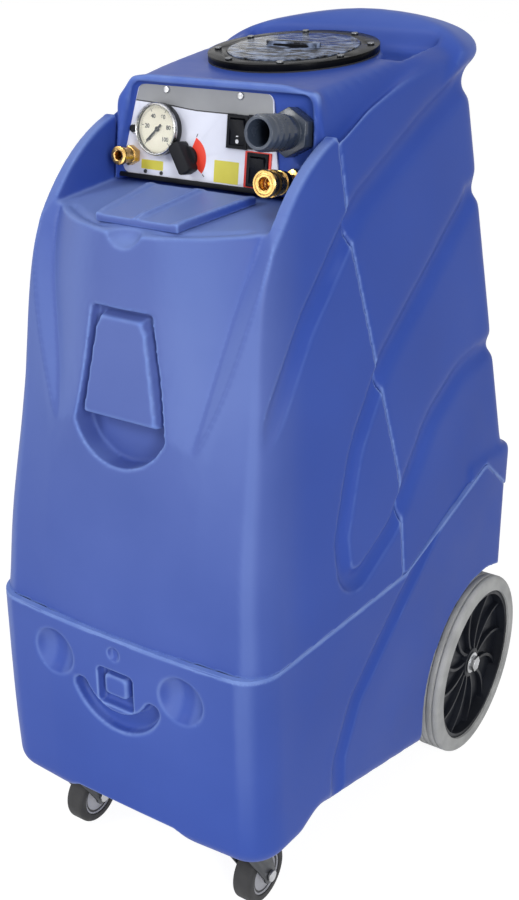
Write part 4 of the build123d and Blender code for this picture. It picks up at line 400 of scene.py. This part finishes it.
def modified(mesh, kind, **settings):
    """Mesh after one modifier."""
    holder = held(mesh)
    modifier = holder.modifiers.new(kind.lower(), kind)
    for key, value in settings.items():
        setattr(modifier, key, value)
    return taken(holder)


def shade(mesh, angle=SMOOTH_ANGLE):
    mesh.shade_smooth()
    mesh.set_sharp_from_angle(angle=angle)
    return mesh


def softened(node, width=0.0006, segments=2, material=None):
    """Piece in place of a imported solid, with its edges rounded."""
    mesh = modified(edited(solid_mesh(node), join_flat), "BEVEL", width=width, segments=segments,
                    limit_method="ANGLE", angle_limit=BEVEL_ANGLE)
    slot = SLOT_OF[node]
    return add_piece(node + "_soft", shade(mesh), BODY_OF[node], slot, material or slot, node)


def ease(value, span):
    """Smooth rise from nought to one while a value goes through a span."""
    start, end = span
    share = min(1.0, max(0.0, (value - start) / (end - start)))
    return share * share * (3.0 - 2.0 * share)


def fade(value, span):
    """Smooth fall from one to nought while a value goes through a span."""
    return 1.0 - ease(value, span)


def along(value, *stops):
    """Value on a line of straight runs through stops of (place, height)."""
    for (a, low), (b, high) in zip(stops, stops[1:]):
        if value <= b:
            return low + (high - low) * max(0.0, (value - a) / (b - a))
    return stops[-1][1]


# Seams of the moulded shells in side view: place and height

BASE_SEAM = ((-0.400, 0.3628), (-0.012, 0.3628), (0.190, 0.4328), (0.246, 0.3868), (0.300, 0.3436))
TANK_JOINT = ((-0.020, 0.300), (-0.020, 0.490), (-0.097, 0.780), (-0.112, 0.905), (-0.112, 0.945))
SEAM_NEAR, SEAM_REACH, SEAM_LEAST = 0.002, 0.008, 0.10


def gap_to_line(y, z, path):
    """Distance in side view from a point to a line of straight runs."""
    best = 1.0
    for (y0, z0), (y1, z1) in zip(path, path[1:]):
        run_y, run_z = y1 - y0, z1 - z0
        share = ((y - y0) * run_y + (z - z0) * run_z) / (run_y * run_y + run_z * run_z)
        share = min(1.0, max(0.0, share))
        best = min(best, sqrt((y - y0 - share * run_y) ** 2 + (z - z0 - share * run_z) ** 2))
    return best


def seam_weight(x, y, z):
    """How far a moulded edge is rounded: little along the seams, in full away from them."""
    gap = min(gap_to_line(y, z, BASE_SEAM), gap_to_line(y, z, TANK_JOINT))
    share = min(1.0, max(0.0, (gap - SEAM_NEAR) / SEAM_REACH))
    return SEAM_LEAST + (1.0 - SEAM_LEAST) * share


# Valley in the shoulder beside the hood, less deep on the left

VALLEY_INNER, VALLEY_OUTER, VALLEY_LEVEL = (0.126, 0.137), (0.139, 0.152), (0.70, 0.875)
VALLEY_DEPTHS = ((-0.125, 0.042), (-0.100, 0.040), (-0.050, 0.025), (0.020, 0.012), (0.080, 0.0))
VALLEY_LEFT = 0.6


def valley_drop(x, y, z):
    """How far the hood's flank falls into the valley inside the shoulder ridge."""
    across = ease(abs(x), VALLEY_INNER) * fade(abs(x), VALLEY_OUTER)
    side = 1.0 if x > 0 else VALLEY_LEFT
    return side * along(y, *VALLEY_DEPTHS) * across * ease(z, VALLEY_LEVEL)


# Rolled rim of the hood

RIM_RISE, RIM_BACK, RIM_LEVEL, RIM_ENDS = 0.006, (-0.114, -0.090), (0.915, 0.920), (0.080, 0.128)


def rim_lift(x, y, z):
    """Rolled rim along the front edge of the hood's top."""
    return RIM_RISE * fade(y, RIM_BACK) * ease(z, RIM_LEVEL) * fade(abs(x), RIM_ENDS)


# Lip of the filling shelf, whose front edge is a shallow curve

LIP_DEPTH, LIP_FRONT, LIP_CURVE, LIP_HALF = 0.0032, 0.2705, 0.054, 0.126
LIP_NEAR, LIP_FAR, LIP_LEVEL = (0.008, 0.012), (0.015, 0.020), (0.780, 0.790)
LIP_ENDS, LIP_MIDDLE = (0.108, 0.118), (0.028, 0.036)


def lip_drop(x, y, z):
    """Shallow groove just behind the front edge of the filling shelf, which leaves a rolled lip."""
    behind = y + LIP_FRONT - LIP_CURVE * (x / LIP_HALF) ** 2
    groove = ease(behind, LIP_NEAR) * fade(behind, LIP_FAR)
    return LIP_DEPTH * groove * ease(z, LIP_LEVEL) * fade(abs(x), LIP_ENDS) * ease(abs(x), LIP_MIDDLE)


# Ribs of the fill lid, which is wider at its rear

LID_HALVES = ((-0.249, 0.052), (-0.136, 0.070))
MIDDLE_RIB, MIDDLE_RIB_FLANK = 0.0048, (0.0022, 0.0055)
SIDE_RIB, SIDE_RIB_FOOT, SIDE_RIB_TOP = 0.0028, 0.010, 0.006
RIB_FRONT, RIB_REAR, RIB_END_SHARE = (-0.247, -0.236), (-0.146, -0.138), 0.45


def rib_lift(x, y, z):
    """Ribs moulded along the middle and the two long edges of the fill lid."""
    half = along(y, *LID_HALVES)
    middle = MIDDLE_RIB * fade(abs(x), MIDDLE_RIB_FLANK)
    side = SIDE_RIB * ease(abs(x), (half - SIDE_RIB_FOOT, half - SIDE_RIB_TOP))
    ends = ease(y, RIB_FRONT) * fade(y, RIB_REAR)
    return max(middle, side) * (RIB_END_SHARE + (1.0 - RIB_END_SHARE) * ends)


# Pad of the hand grip, which is wider at its foot

GRIP_ORIGIN = Vector((0.0, -0.2905, 0.640))
GRIP_LEAN = radians(5.7)
PAD_DEPTH, PAD_RAISE, PAD_SKIN = 0.012, 0.009, 0.0035
PAD_HALVES = ((-0.040, 0.052), (0.087, 0.031))
PAD_INSET, PAD_OUTSET = 0.002, 0.001
PAD_FOOT, PAD_TOP = (-0.0315, -0.0285), (0.080, 0.083)


def pad_rise(x, y, z):
    """How far the pad in the hand grip comes out of its hollow."""
    place = Vector((x, y, z)) - GRIP_ORIGIN
    inward = place.y * cos(GRIP_LEAN) - place.z * sin(GRIP_LEAN)
    up = place.y * sin(GRIP_LEAN) + place.z * cos(GRIP_LEAN)
    if abs(inward - PAD_DEPTH) > PAD_SKIN:
        return 0.0
    half = along(up, *PAD_HALVES)
    inside = fade(abs(x), (half - PAD_INSET, half + PAD_OUTSET))
    return PAD_RAISE * inside * ease(up, PAD_FOOT) * fade(up, PAD_TOP)


# Leaned plane of the control panel

PANEL_LEAN = radians(7.1)
PANEL_ORIGIN = Vector((0.0, -0.113, 0.872))
PANEL_UP = Vector((0.0, sin(PANEL_LEAN), cos(PANEL_LEAN)))
PANEL_OUT = Vector((0.0, -cos(PANEL_LEAN), sin(PANEL_LEAN)))

# Where the upper tank is rounded most

SHOULDER_SIDE, SHOULDER_LEVEL = (0.116, 0.126), (0.855, 0.875)
SHOULDER_FRONT, SHOULDER_REAR = (-0.108, -0.095), (0.10, 0.16)
BAR_PLACE, BAR_LEVEL = (0.185, 0.205), (0.90, 0.93)
FRAME_RISE, FRAME_LEVEL, FRAME_SHARE = (0.001, 0.004), (0.84, 0.86), 0.35


def soft_share(x, y, z):
    """Extra rounding of the shoulders, the handle and the rim round the panel."""
    shoulder = ease(abs(x), SHOULDER_SIDE) * ease(z, SHOULDER_LEVEL) * fade(y, SHOULDER_REAR)
    handle = ease(y, BAR_PLACE) * ease(z, BAR_LEVEL)
    rise = (Vector((x, y, z)) - PANEL_ORIGIN).dot(PANEL_OUT)
    rim = FRAME_SHARE * ease(rise, FRAME_RISE) * ease(z, FRAME_LEVEL)
    return max(shoulder * ease(y, SHOULDER_FRONT), handle, rim)


def rounded_off(mesh, rounds, weight):
    """Mesh after rounds of smoothing, each vertex by its own weight."""
    holder = held(mesh)
    group = holder.vertex_groups.new(name="round")
    for vertex in mesh.vertices:
        group.add([vertex.index], weight(*vertex.co), "REPLACE")
    smooth = holder.modifiers.new("round", "SMOOTH")
    smooth.factor = 0.5
    smooth.iterations = rounds
    smooth.vertex_group = "round"
    return taken(holder)


FACING_TOP = (-0.3, 0.3)


def moulded(node, voxel, rounds, drop=None, push=None, lift=None, soft=None, soft_rounds=0):
    """Piece in place of a packed shell, remeshed and smoothed like a roto-moulding."""
    mesh = modified(solid_mesh(node), "REMESH", mode="VOXEL", voxel_size=voxel, adaptivity=0.0)
    if drop:
        for vertex in mesh.vertices:
            vertex.co.z -= drop(*vertex.co)
    if push:
        for vertex in mesh.vertices:
            vertex.co.y -= push(*vertex.co)
    if lift:
        shares = [ease(vertex.normal.z, FACING_TOP) for vertex in mesh.vertices]
        for vertex, share in zip(mesh.vertices, shares):
            vertex.co.z += share * lift(*vertex.co)
    mesh = rounded_off(mesh, rounds, seam_weight)
    if soft:
        mesh = rounded_off(mesh, soft_rounds, soft)
    mesh.shade_smooth()
    return add_piece(node + "_moulded", mesh, BODY_OF[node], SLOT_OF[node], SLOT_OF[node], node)


moulded("base_tub", 0.0021, 9)
moulded("solution_tank", 0.0020, 14, drop=lip_drop, push=pad_rise)
moulded("recovery_tank", 0.0021, 18, drop=valley_drop, lift=rim_lift, soft=soft_share, soft_rounds=80)
moulded("fill_lid", 0.0013, 14, lift=rib_lift)

SIDES = ("left", "right")
KEPT_PLAIN = {"lid_gasket", "gauge_lens", "gauge_dial", "float_ball", "standpipe"}
MADE_APART = {"base_tub", "solution_tank", "recovery_tank", "fill_lid", "gauge_case", "coupler_sleeve",
              "base_seal"}
DRESSED = {"lid_ring": "ring_black", "lid_screws": "screw_dull"}
DRESSED |= {f"caster_fork_{side}": "fork_steel" for side in SIDES}
DRESSED |= {f"rear_hub_{side}": "hub_black" for side in SIDES}
for node in nodes:
    if node in MADE_APART:
        continue
    if node in KEPT_PLAIN:
        nodes[node].data.materials.clear()
        nodes[node].data.materials.append(MATERIALS[SLOT_OF[node]])
        continue
    softened(node, material=DRESSED.get(node))
softened("gauge_case", 0.0008, 3, "gauge_side")


def swollen(node, swell, material):
    """Piece in place of a packed seal, squeezed out a little along its whole run."""
    mesh = solid_mesh(node)
    normals = [vertex.normal.copy() for vertex in mesh.vertices]
    for vertex, normal in zip(mesh.vertices, normals):
        vertex.co += swell * normal
    add_piece(node + "_swollen", shade(mesh), BODY_OF[node], SLOT_OF[node], material, node)


swollen("base_seal", 0.0011, "blue_poly")


# Control panel in its own millimetres: across, up and off the plate

PRINT_THICK, INK_RISE = 0.12, 0.08
PLATE_LOW, PLATE_TOP = -47.0, 49.0
PLATE_LEFT, PLATE_LEFT_LEAN = -124.0, 21.0
PLATE_RIGHT, PLATE_RIGHT_LEAN = 85.0, -15.0


def on_panel(u, v, rise=0.0):
    """Point from panel millimetres."""
    return PANEL_ORIGIN + MM * (Vector((u, 0.0, 0.0)) + v * PANEL_UP + rise * PANEL_OUT)


def slab(outline, place, low, high):
    """Mesh of a thin slab from an outline, each point placed by a function of (a, b, height)."""
    count = len(outline)
    points = [place(a, b, low) for a, b in outline] + [place(a, b, high) for a, b in outline]
    faces = [tuple(reversed(range(count))), tuple(range(count, 2 * count))]
    for k in range(count):
        n = (k + 1) % count
        faces.append((k, n, count + n, count + k))
    mesh = bpy.data.meshes.new("slab")
    mesh.from_pydata(points, [], faces)
    return mesh


def arc(u, v, r, start, end, steps=24):
    turns = [radians(start + (end - start) * k / steps) for k in range(steps + 1)]
    return [(u + r * cos(t), v + r * sin(t)) for t in turns]


def rounded(low_u, low_v, high_u, high_v, r):
    """Outline of a rectangle with round corners."""
    corners = ((high_u - r, low_v + r, -90), (high_u - r, high_v - r, 0), (low_u + r, high_v - r, 90),
               (low_u + r, low_v + r, 180))
    return [point for u, v, start in corners for point in arc(u, v, r, start, start + 90, 6)]


def tick(u, v, turn, near, far, half):
    """Corners of a small mark that points away from a centre."""
    a, b = cos(turn), sin(turn)
    ends = ((near, half), (near, -half), (far, -half), (far, half))
    return [(u + r * a - s * b, v + r * b + s * a) for r, s in ends]


def printed(name, outline, material):
    add_piece(name, slab(outline, on_panel, 0.0, PRINT_THICK), "frame", "panel_white", material)


def plate_left(v):
    return PLATE_LEFT + PLATE_LEFT_LEAN * (v - PLATE_LOW) / (PLATE_TOP - PLATE_LOW)


def plate_right(v):
    return PLATE_RIGHT + PLATE_RIGHT_LEAN * (v - PLATE_LOW) / (PLATE_TOP - PLATE_LOW)


# Grey band with its wavy lower edge, bare plates and the arc of the regulator

BAND_EDGE = ((-108.0, 31.6), (-90.0, 31.0), (-70.0, 29.9), (-53.0, 28.7), (-38.0, 27.3), (-24.0, 26.4),
             (0.0, 26.3), (27.0, 26.4), (30.5, 24.9), (50.0, 25.0), (72.0, 25.4))
BAND_INSET, BAND_LINE = 0.4, 1.3
BAND_CORNER, BAND_SHIFT = 8.0, 1.0
YELLOW_PLATES = {"left": (-96.0, -41.0, -66.0, -31.0), "right": (2.0, -45.5, 33.5, -22.5)}
YELLOW_CORNER = 0.8
KNOB_U, KNOB_V = -33.0, -24.0
SECTOR_OUTER, SECTOR_INNER = 24.0, 6.0
SECTOR_TOP, SECTOR_FOOT = 66.0, -38.0
KNOB_TICKS = (148.0, SECTOR_TOP, SECTOR_FOOT)
KNOB_TICK_NEAR, KNOB_TICK_FAR, KNOB_TICK_HALF = 25.0, 28.5, 0.45


def panel_prints():
    edge = [(max(u, plate_left(v) + BAND_INSET), v) for u, v in BAND_EDGE]
    top = PLATE_TOP - BAND_INSET
    middle = top - BAND_CORNER
    right = plate_right(top) - BAND_INSET - BAND_CORNER + BAND_SHIFT
    left = plate_left(top) + BAND_INSET + BAND_CORNER - BAND_SHIFT
    crown = arc(right, middle, BAND_CORNER, 0, 90, 8) + arc(left, middle, BAND_CORNER, 90, 170, 8)
    printed("panel_band", edge + crown, "band_grey")
    under = [(u, v - BAND_LINE) for u, v in edge]
    printed("panel_band_line", under + list(reversed(edge)), "ink_black")
    for side, corners in YELLOW_PLATES.items():
        printed(f"panel_plate_{side}", rounded(*corners, YELLOW_CORNER), "ink_yellow")
    sector = arc(KNOB_U, KNOB_V, SECTOR_OUTER, SECTOR_TOP, SECTOR_FOOT, 30)
    sector += arc(KNOB_U, KNOB_V, SECTOR_INNER, SECTOR_FOOT, SECTOR_TOP, 10)
    printed("panel_sector", list(reversed(sector)), "ink_red")
    for k, turn in enumerate(KNOB_TICKS):
        mark = tick(KNOB_U, KNOB_V, radians(turn), KNOB_TICK_NEAR, KNOB_TICK_FAR, KNOB_TICK_HALF)
        printed(f"panel_tick_{k}", list(reversed(mark)), "ink_black")


# Dial of the pressure gauge

GAUGE_U, GAUGE_V = -70.0, 3.0
DIAL_FACE = 7.0
DIAL_FIRST, DIAL_SWEEP, DIAL_STEPS, DIAL_NUMBERS = 225.0, 270.0, 50, 5
NUMBER_STEP, NUMBER_R, NUMBER_HEIGHT, NUMBER_WEIGHT = 20, 14.6, 6.2, 0.2
DIAL_TICK_FAR = 23.4
LONG_TICK_NEAR, LONG_TICK_HALF = 19.6, 0.42
SHORT_TICK_NEAR, SHORT_TICK_HALF = 21.6, 0.20


def number(name, text, u, v):
    """Plain number on the dial."""
    curve = bpy.data.curves.new("number", "FONT")
    curve.body = text
    curve.size = NUMBER_HEIGHT * MM
    curve.align_x = "CENTER"
    curve.align_y = "CENTER"
    curve.offset = NUMBER_WEIGHT * MM
    mesh = taken(held(curve))
    turn = Matrix((Vector((1.0, 0.0, 0.0)), PANEL_UP, PANEL_OUT)).transposed().to_4x4()
    mesh.transform(Matrix.Translation(on_panel(u, v, DIAL_FACE + INK_RISE)) @ turn)
    add_piece(name, mesh, "frame", "needle_black", "ink_black")


def dial_marks():
    """Ticks, in one mesh, and plain numbers round the gauge dial."""
    work = bmesh.new()
    for k in range(DIAL_STEPS + 1):
        turn = radians(DIAL_FIRST - DIAL_SWEEP * k / DIAL_STEPS)
        numbered = k % (DIAL_STEPS // DIAL_NUMBERS) == 0
        near = LONG_TICK_NEAR if numbered else SHORT_TICK_NEAR
        half = LONG_TICK_HALF if numbered else SHORT_TICK_HALF
        corners = tick(GAUGE_U, GAUGE_V, turn, near, DIAL_TICK_FAR, half)
        work.faces.new([work.verts.new(on_panel(u, v, DIAL_FACE + INK_RISE)) for u, v in corners])
    mesh = bpy.data.meshes.new("dial_ticks")
    work.to_mesh(mesh)
    work.free()
    add_piece("dial_ticks", mesh, "frame", "needle_black", "ink_black")
    for k in range(DIAL_NUMBERS + 1):
        turn = radians(DIAL_FIRST - DIAL_SWEEP * k / DIAL_NUMBERS)
        text = str(NUMBER_STEP * k)
        number("dial_number_" + text, text, GAUGE_U + NUMBER_R * cos(turn), GAUGE_V + NUMBER_R * sin(turn))


# Marks on the tilted rockers

ROCKERS = {"pump": (30.0, 8.6), "vacuum_a": (56.5, 9.6), "vacuum_b": (57.5, -28.0)}
ROCKER_TILT = radians(10.0)
ROCKER_PIVOT = -1.0
ROCKER_DIP, ROCKER_LIP, ROCKER_HALF = 2.5, 4.5, 13.0
DOT_V, DOT_R = -9.2, 2.1
DASH, DASH_CORNER = (-1.5, -4.6, 1.5, -3.5), 0.4


def on_rocker(spot, across, up, rise):
    """Point on the tilted face of a rocker."""
    fall = ROCKER_DIP + (ROCKER_LIP - ROCKER_DIP) * abs(up) / ROCKER_HALF + rise
    v = up * cos(ROCKER_TILT) - fall * sin(ROCKER_TILT)
    out = up * sin(ROCKER_TILT) + fall * cos(ROCKER_TILT)
    return on_panel(spot[0] + across, spot[1] + v, ROCKER_PIVOT + out)


def rocker_marks():
    """White dot and dash on the lower half of each rocker."""
    marks = {"dot": arc(0.0, DOT_V, DOT_R, 0, 360, 24)[:-1], "dash": rounded(*DASH, DASH_CORNER)}
    for name, spot in ROCKERS.items():
        def place(a, b, height, spot=spot):
            return on_rocker(spot, a, b, height)
        for kind, outline in marks.items():
            mesh = slab(outline, place, 0.0, PRINT_THICK)
            add_piece(f"rocker_{name}_{kind}", mesh, f"rocker_{name}", "switch_black", "ink_white")


# Turned trim: profiles of radius and rise

TURN_STEPS = 72


def turned(name, profile, u, v, body, slot, material, *replaced, place=on_panel):
    """Ring turned from a closed profile, round an axis square to the panel unless placed otherwise."""
    count = len(profile)
    points = []
    for k in range(TURN_STEPS):
        a = 2 * pi * k / TURN_STEPS
        points += [place(u + r * cos(a), v + r * sin(a), rise) for r, rise in profile]
    faces = []
    for k in range(TURN_STEPS):
        n = (k + 1) % TURN_STEPS
        for j in range(count):
            m = (j + 1) % count
            faces.append((k * count + j, n * count + j, n * count + m, k * count + m))
    mesh = bpy.data.meshes.new(name)
    mesh.from_pydata(points, [], faces)
    return add_piece(name, shade(mesh), body, slot, material, *replaced)


BEZEL_R = 27.5
BEZEL_PROFILE = ((-2.1, 9.0), (0.25, 8.4), (0.45, 10.2), (0.1, 11.6), (-0.9, 12.5), (-1.7, 12.5),
                 (-2.5, 11.7), (-2.7, 10.8))


def gauge_bezel():
    """Bright rolled rim on the front of the gauge."""
    rim = [(BEZEL_R + out, rise) for out, rise in BEZEL_PROFILE]
    turned("gauge_bezel", rim, GAUGE_U, GAUGE_V, "frame", "gauge_steel", "gauge_steel")


COUPLER_U, COUPLER_V, COUPLER_RISE = 106.0, -34.0, 62.0
SLEEVE_R, SLEEVE_BORE, SLEEVE_LENGTH = 13.5, 11.05, 18.0
FRONT_RING, REAR_RING = 5.0, 6.0
RING_CHAMFER, RING_TAPER, GRIP_SINK = 0.8, 0.6, 1.2
SEAL_IN, SEAL_OUT, SEAL_TOP, SEAL_FOOT = 6.6, 7.5, 9.2, 11.3
SHANK_IN, SHANK_OUT, SHANK_FOOT, SHANK_TOP = 11.02, 11.5, 26.0, 35.0


def coupler_trim():
    """Sleeve of two bright rings with a dark grip between them, and the dark seal in the mouth."""
    top, low = COUPLER_RISE, COUPLER_RISE - SLEEVE_LENGTH
    front_end, rear_end = top - FRONT_RING, low + REAR_RING
    spot = (COUPLER_U, COUPLER_V)
    front = [(SLEEVE_BORE, top), (SLEEVE_BORE, front_end), (SLEEVE_R, front_end),
             (SLEEVE_R, top - RING_CHAMFER), (SLEEVE_R - RING_CHAMFER, top)]
    turned("coupler_sleeve_front", front, *spot, "coupler_sleeve", "brass", "brass", "coupler_sleeve")
    grip = [(SLEEVE_BORE, front_end), (SLEEVE_BORE, rear_end), (SLEEVE_R - GRIP_SINK, rear_end),
            (SLEEVE_R - GRIP_SINK, front_end)]
    turned("coupler_sleeve_grip", grip, *spot, "coupler_sleeve", "brass", "switch_black")
    rear = [(SLEEVE_BORE, rear_end), (SLEEVE_BORE, low), (SLEEVE_R - RING_TAPER, low),
            (SLEEVE_R, low + RING_CHAMFER), (SLEEVE_R, rear_end)]
    turned("coupler_sleeve_rear", rear, *spot, "coupler_sleeve", "brass", "brass")
    seal = [(SEAL_IN, top - SEAL_TOP), (SEAL_IN, top - SEAL_FOOT), (SEAL_OUT, top - SEAL_FOOT),
            (SEAL_OUT, top - SEAL_TOP)]
    turned("coupler_seal", seal, *spot, "frame", "brass", "seal_red")
    shank = [(SHANK_IN, SHANK_FOOT), (SHANK_IN, SHANK_TOP), (SHANK_OUT, SHANK_TOP),
             (SHANK_OUT, SHANK_FOOT)]
    turned("coupler_shank", shank, *spot, "frame", "brass", "switch_black")


BARB_U, BARB_V, BARB_R = 99.5, 14.0, 16.5
RIDGES, RIDGE_FIRST, RIDGE_PITCH = 7, 30.0, 5.2
RIDGE_PROFILE = ((-0.3, 0.0), (1.9, 0.4), (1.9, 1.0), (-0.3, 4.4))


def barb_ridges():
    """Fine ridges round the outer half of the hose barb."""
    for k in range(RIDGES):
        foot = RIDGE_FIRST + RIDGE_PITCH * k
        ridge = [(BARB_R + out, foot + rise) for out, rise in RIDGE_PROFILE]
        turned(f"barb_ridge_{k}", ridge, BARB_U, BARB_V, "frame", "barb_grey", "barb_grey")


STUD_PLACES, STUD_V = (-90.0, -68.0), -43.6
STUD_PROFILE = ((0.2, 0.0), (0.2, 1.9), (1.2, 1.7), (2.0, 0.9), (2.2, 0.0))


def low_studs():
    """Two small dark studs just above the strip at the foot of the panel."""
    for k, u in enumerate(STUD_PLACES):
        turned(f"panel_stud_{k}", STUD_PROFILE, u, STUD_V, "frame", "black_plastic", "ink_black")


CASTER_X, CASTER_AXLE_Y, CASTER_AXLE_Z = 130.0, -228.5, 37.5
CASTER_HUB_FACE, CASTER_RING_SINK = 10.0, 0.2
CASTER_RIM = ((24.4, 0.0), (24.4, 1.0), (25.0, 1.6), (26.4, 1.6), (26.9, 1.0), (26.9, 0.0))
CASTER_GROOVE_SHADE = ((22.0, 0.0), (22.0, 0.35), (24.4, 0.35), (24.4, 0.0))


def caster_rings():
    """Bright rim and a thin black ring of painted groove shade on both faces of each caster hub."""
    low = CASTER_HUB_FACE - CASTER_RING_SINK
    rim = [(r, low + rise) for r, rise in CASTER_RIM]
    # painted shade: the thin black ring stands in for the shade of a groove inside the rim
    groove = [(r, low + rise) for r, rise in CASTER_GROOVE_SHADE]
    for side, x in zip(SIDES, (-CASTER_X, CASTER_X)):
        body = BODY_OF["caster_hub_" + side]
        for face, way in (("outer", 1.0), ("inner", -1.0)):
            def place(a, b, rise, x=x, way=way):
                return MM * Vector((x + way * rise, CASTER_AXLE_Y + a, CASTER_AXLE_Z + b))
            for kind, profile, material in (("rim", rim, "caster_grey"), ("groove", groove, "ink_black")):
                name = f"caster_{side}_{kind}_{face}"
                turned(name, profile, 0.0, 0.0, body, "caster_grey", material, place=place)


# Grip of the clear lid, in metres along the lid's slope

LID_SLOPE = radians(6.3)
LID_CENTRE, LID_GRIP_SEAT = Vector((0.0, 0.0435, 0.943)), 0.0094
LID_GRIP_HALF, LID_GRIP_WIDTH, LID_GRIP_RISE = 0.0354, 0.0064, 0.0056
LID_GRIP_RINGS, LID_GRIP_ARCS = 20, 12
LID_GRIP_END, LID_GRIP_SQUARE, LID_GRIP_CROWN = 0.04, 8, 0.6


def lid_grip():
    """Dark rounded bar over the grip of the clear lid."""
    up = Vector((0.0, -sin(LID_SLOPE), cos(LID_SLOPE)))
    back = Vector((0.0, cos(LID_SLOPE), sin(LID_SLOPE)))
    seat = LID_CENTRE + LID_GRIP_SEAT * up
    points = []
    for k in range(LID_GRIP_RINGS + 1):
        place = -cos(pi * k / LID_GRIP_RINGS)
        size = max(LID_GRIP_END, 1.0 - abs(place) ** LID_GRIP_SQUARE)
        centre = seat + Vector((LID_GRIP_HALF * place, 0.0, 0.0))
        for j in range(LID_GRIP_ARCS + 1):
            a = pi * j / LID_GRIP_ARCS
            aside = LID_GRIP_WIDTH * size * cos(a) * back
            points.append(centre + aside + LID_GRIP_RISE * size * sin(a) ** LID_GRIP_CROWN * up)
    across = LID_GRIP_ARCS + 1
    faces = []
    for k in range(LID_GRIP_RINGS):
        for j in range(LID_GRIP_ARCS):
            first = k * across + j
            faces.append((first, first + 1, first + across + 1, first + across))
        last = k * across + LID_GRIP_ARCS
        faces.append((last, k * across, (k + 1) * across, last + across))
    faces.append(tuple(range(across)))
    faces.append(tuple(reversed(range(LID_GRIP_RINGS * across, (LID_GRIP_RINGS + 1) * across))))
    mesh = bpy.data.meshes.new("lid_grip")
    mesh.from_pydata(points, [], faces)
    add_piece("lid_grip", shade(mesh, radians(60.0)), "clear_lid", "black_plastic", "ring_black")


panel_prints()
lid_grip()
dial_marks()
rocker_marks()
gauge_bezel()
coupler_trim()
barb_ridges()
low_studs()
caster_rings()


# Floor and light

FLOOR_HALF, FLOOR_GREY, FLOOR_ROUGHNESS = 12.0, (0.86, 0.86, 0.86, 1.0), 0.9
FLOOR_GLOW, FLOOR_GLOW_SHARE = 1.27, 0.72
STUDIO_LEVEL, WHITE_LEVEL = 0.34, 1.0


def seen_ray(tree):
    """One for camera, glossy and transmission rays, else nought."""
    path = tree.nodes.new("ShaderNodeLightPath")
    value = path.outputs["Is Camera Ray"]
    for kind in ("Is Glossy Ray", "Is Transmission Ray"):
        larger = tree.nodes.new("ShaderNodeMath")
        larger.operation = "MAXIMUM"
        tree.links.new(value, larger.inputs[0])
        tree.links.new(path.outputs[kind], larger.inputs[1])
        value = larger.outputs["Value"]
    return value


def pale_floor():
    mesh = bpy.data.meshes.new("floor")
    corners = [(FLOOR_HALF * a, FLOOR_HALF * b, 0.0) for a, b in ((-1, -1), (1, -1), (1, 1), (-1, 1))]
    mesh.from_pydata(corners, [], [(0, 1, 2, 3)])
    floor = bpy.data.objects.new("floor", mesh)
    scene.collection.objects.link(floor)
    paint = Paint("floor")
    paint.put("Base Color", FLOOR_GREY)
    paint.put("Roughness", FLOOR_ROUGHNESS)
    glow = paint.add("ShaderNodeEmission")
    glow.inputs["Strength"].default_value = FLOOR_GLOW
    mix = paint.add("ShaderNodeMixShader")
    share = paint.add("ShaderNodeMath", operation="MULTIPLY")
    share.inputs[1].default_value = FLOOR_GLOW_SHARE
    paint.link(seen_ray(paint.tree), share.inputs[0])
    paint.link(share.outputs["Value"], mix.inputs["Fac"])
    paint.link(paint.shader.outputs["BSDF"], mix.inputs[1])
    paint.link(glow.outputs["Emission"], mix.inputs[2])
    paint.link(mix.outputs["Shader"], paint.tree.nodes["Material Output"].inputs["Surface"])
    mesh.materials.append(paint.material)


def studio():
    world = bpy.data.worlds.new("studio")
    scene.world = world
    world.use_nodes = True
    tree = world.node_tree
    back = tree.nodes["Background"]
    back.inputs["Color"].default_value = (1.0, 1.0, 1.0, 1.0)
    level = tree.nodes.new("ShaderNodeMapRange")
    level.inputs["To Min"].default_value = STUDIO_LEVEL
    level.inputs["To Max"].default_value = WHITE_LEVEL
    tree.links.new(seen_ray(tree), level.inputs["Value"])
    tree.links.new(level.outputs["Result"], back.inputs["Strength"])


def lamp(name, place, aim, size, power):
    data = bpy.data.lights.new(name, "AREA")
    data.shape = "RECTANGLE"
    data.size, data.size_y = size
    data.energy = power
    obj = bpy.data.objects.new(name, data)
    scene.collection.objects.link(obj)
    obj.location = place
    obj.rotation_euler = (Vector(aim) - Vector(place)).to_track_quat("-Z", "Y").to_euler()


pale_floor()
studio()
lamp("front", (-1.5, -3.0, 0.45), (0.0, -0.25, 0.6), (2.2, 0.8), 14.0)
lamp("key", (-1.4, -2.2, 2.3), (0.0, 0.0, 0.6), (0.7, 0.8), 26.0)
lamp("top", (0.1, -0.9, 2.9), (0.0, 0.0, 0.7), (1.4, 1.2), 8.0)
lamp("side", (2.3, -2.0, 1.6), (0.0, 0.0, 0.5), (0.7, 1.5), 48.0)

scene.view_settings.view_transform = "Standard"
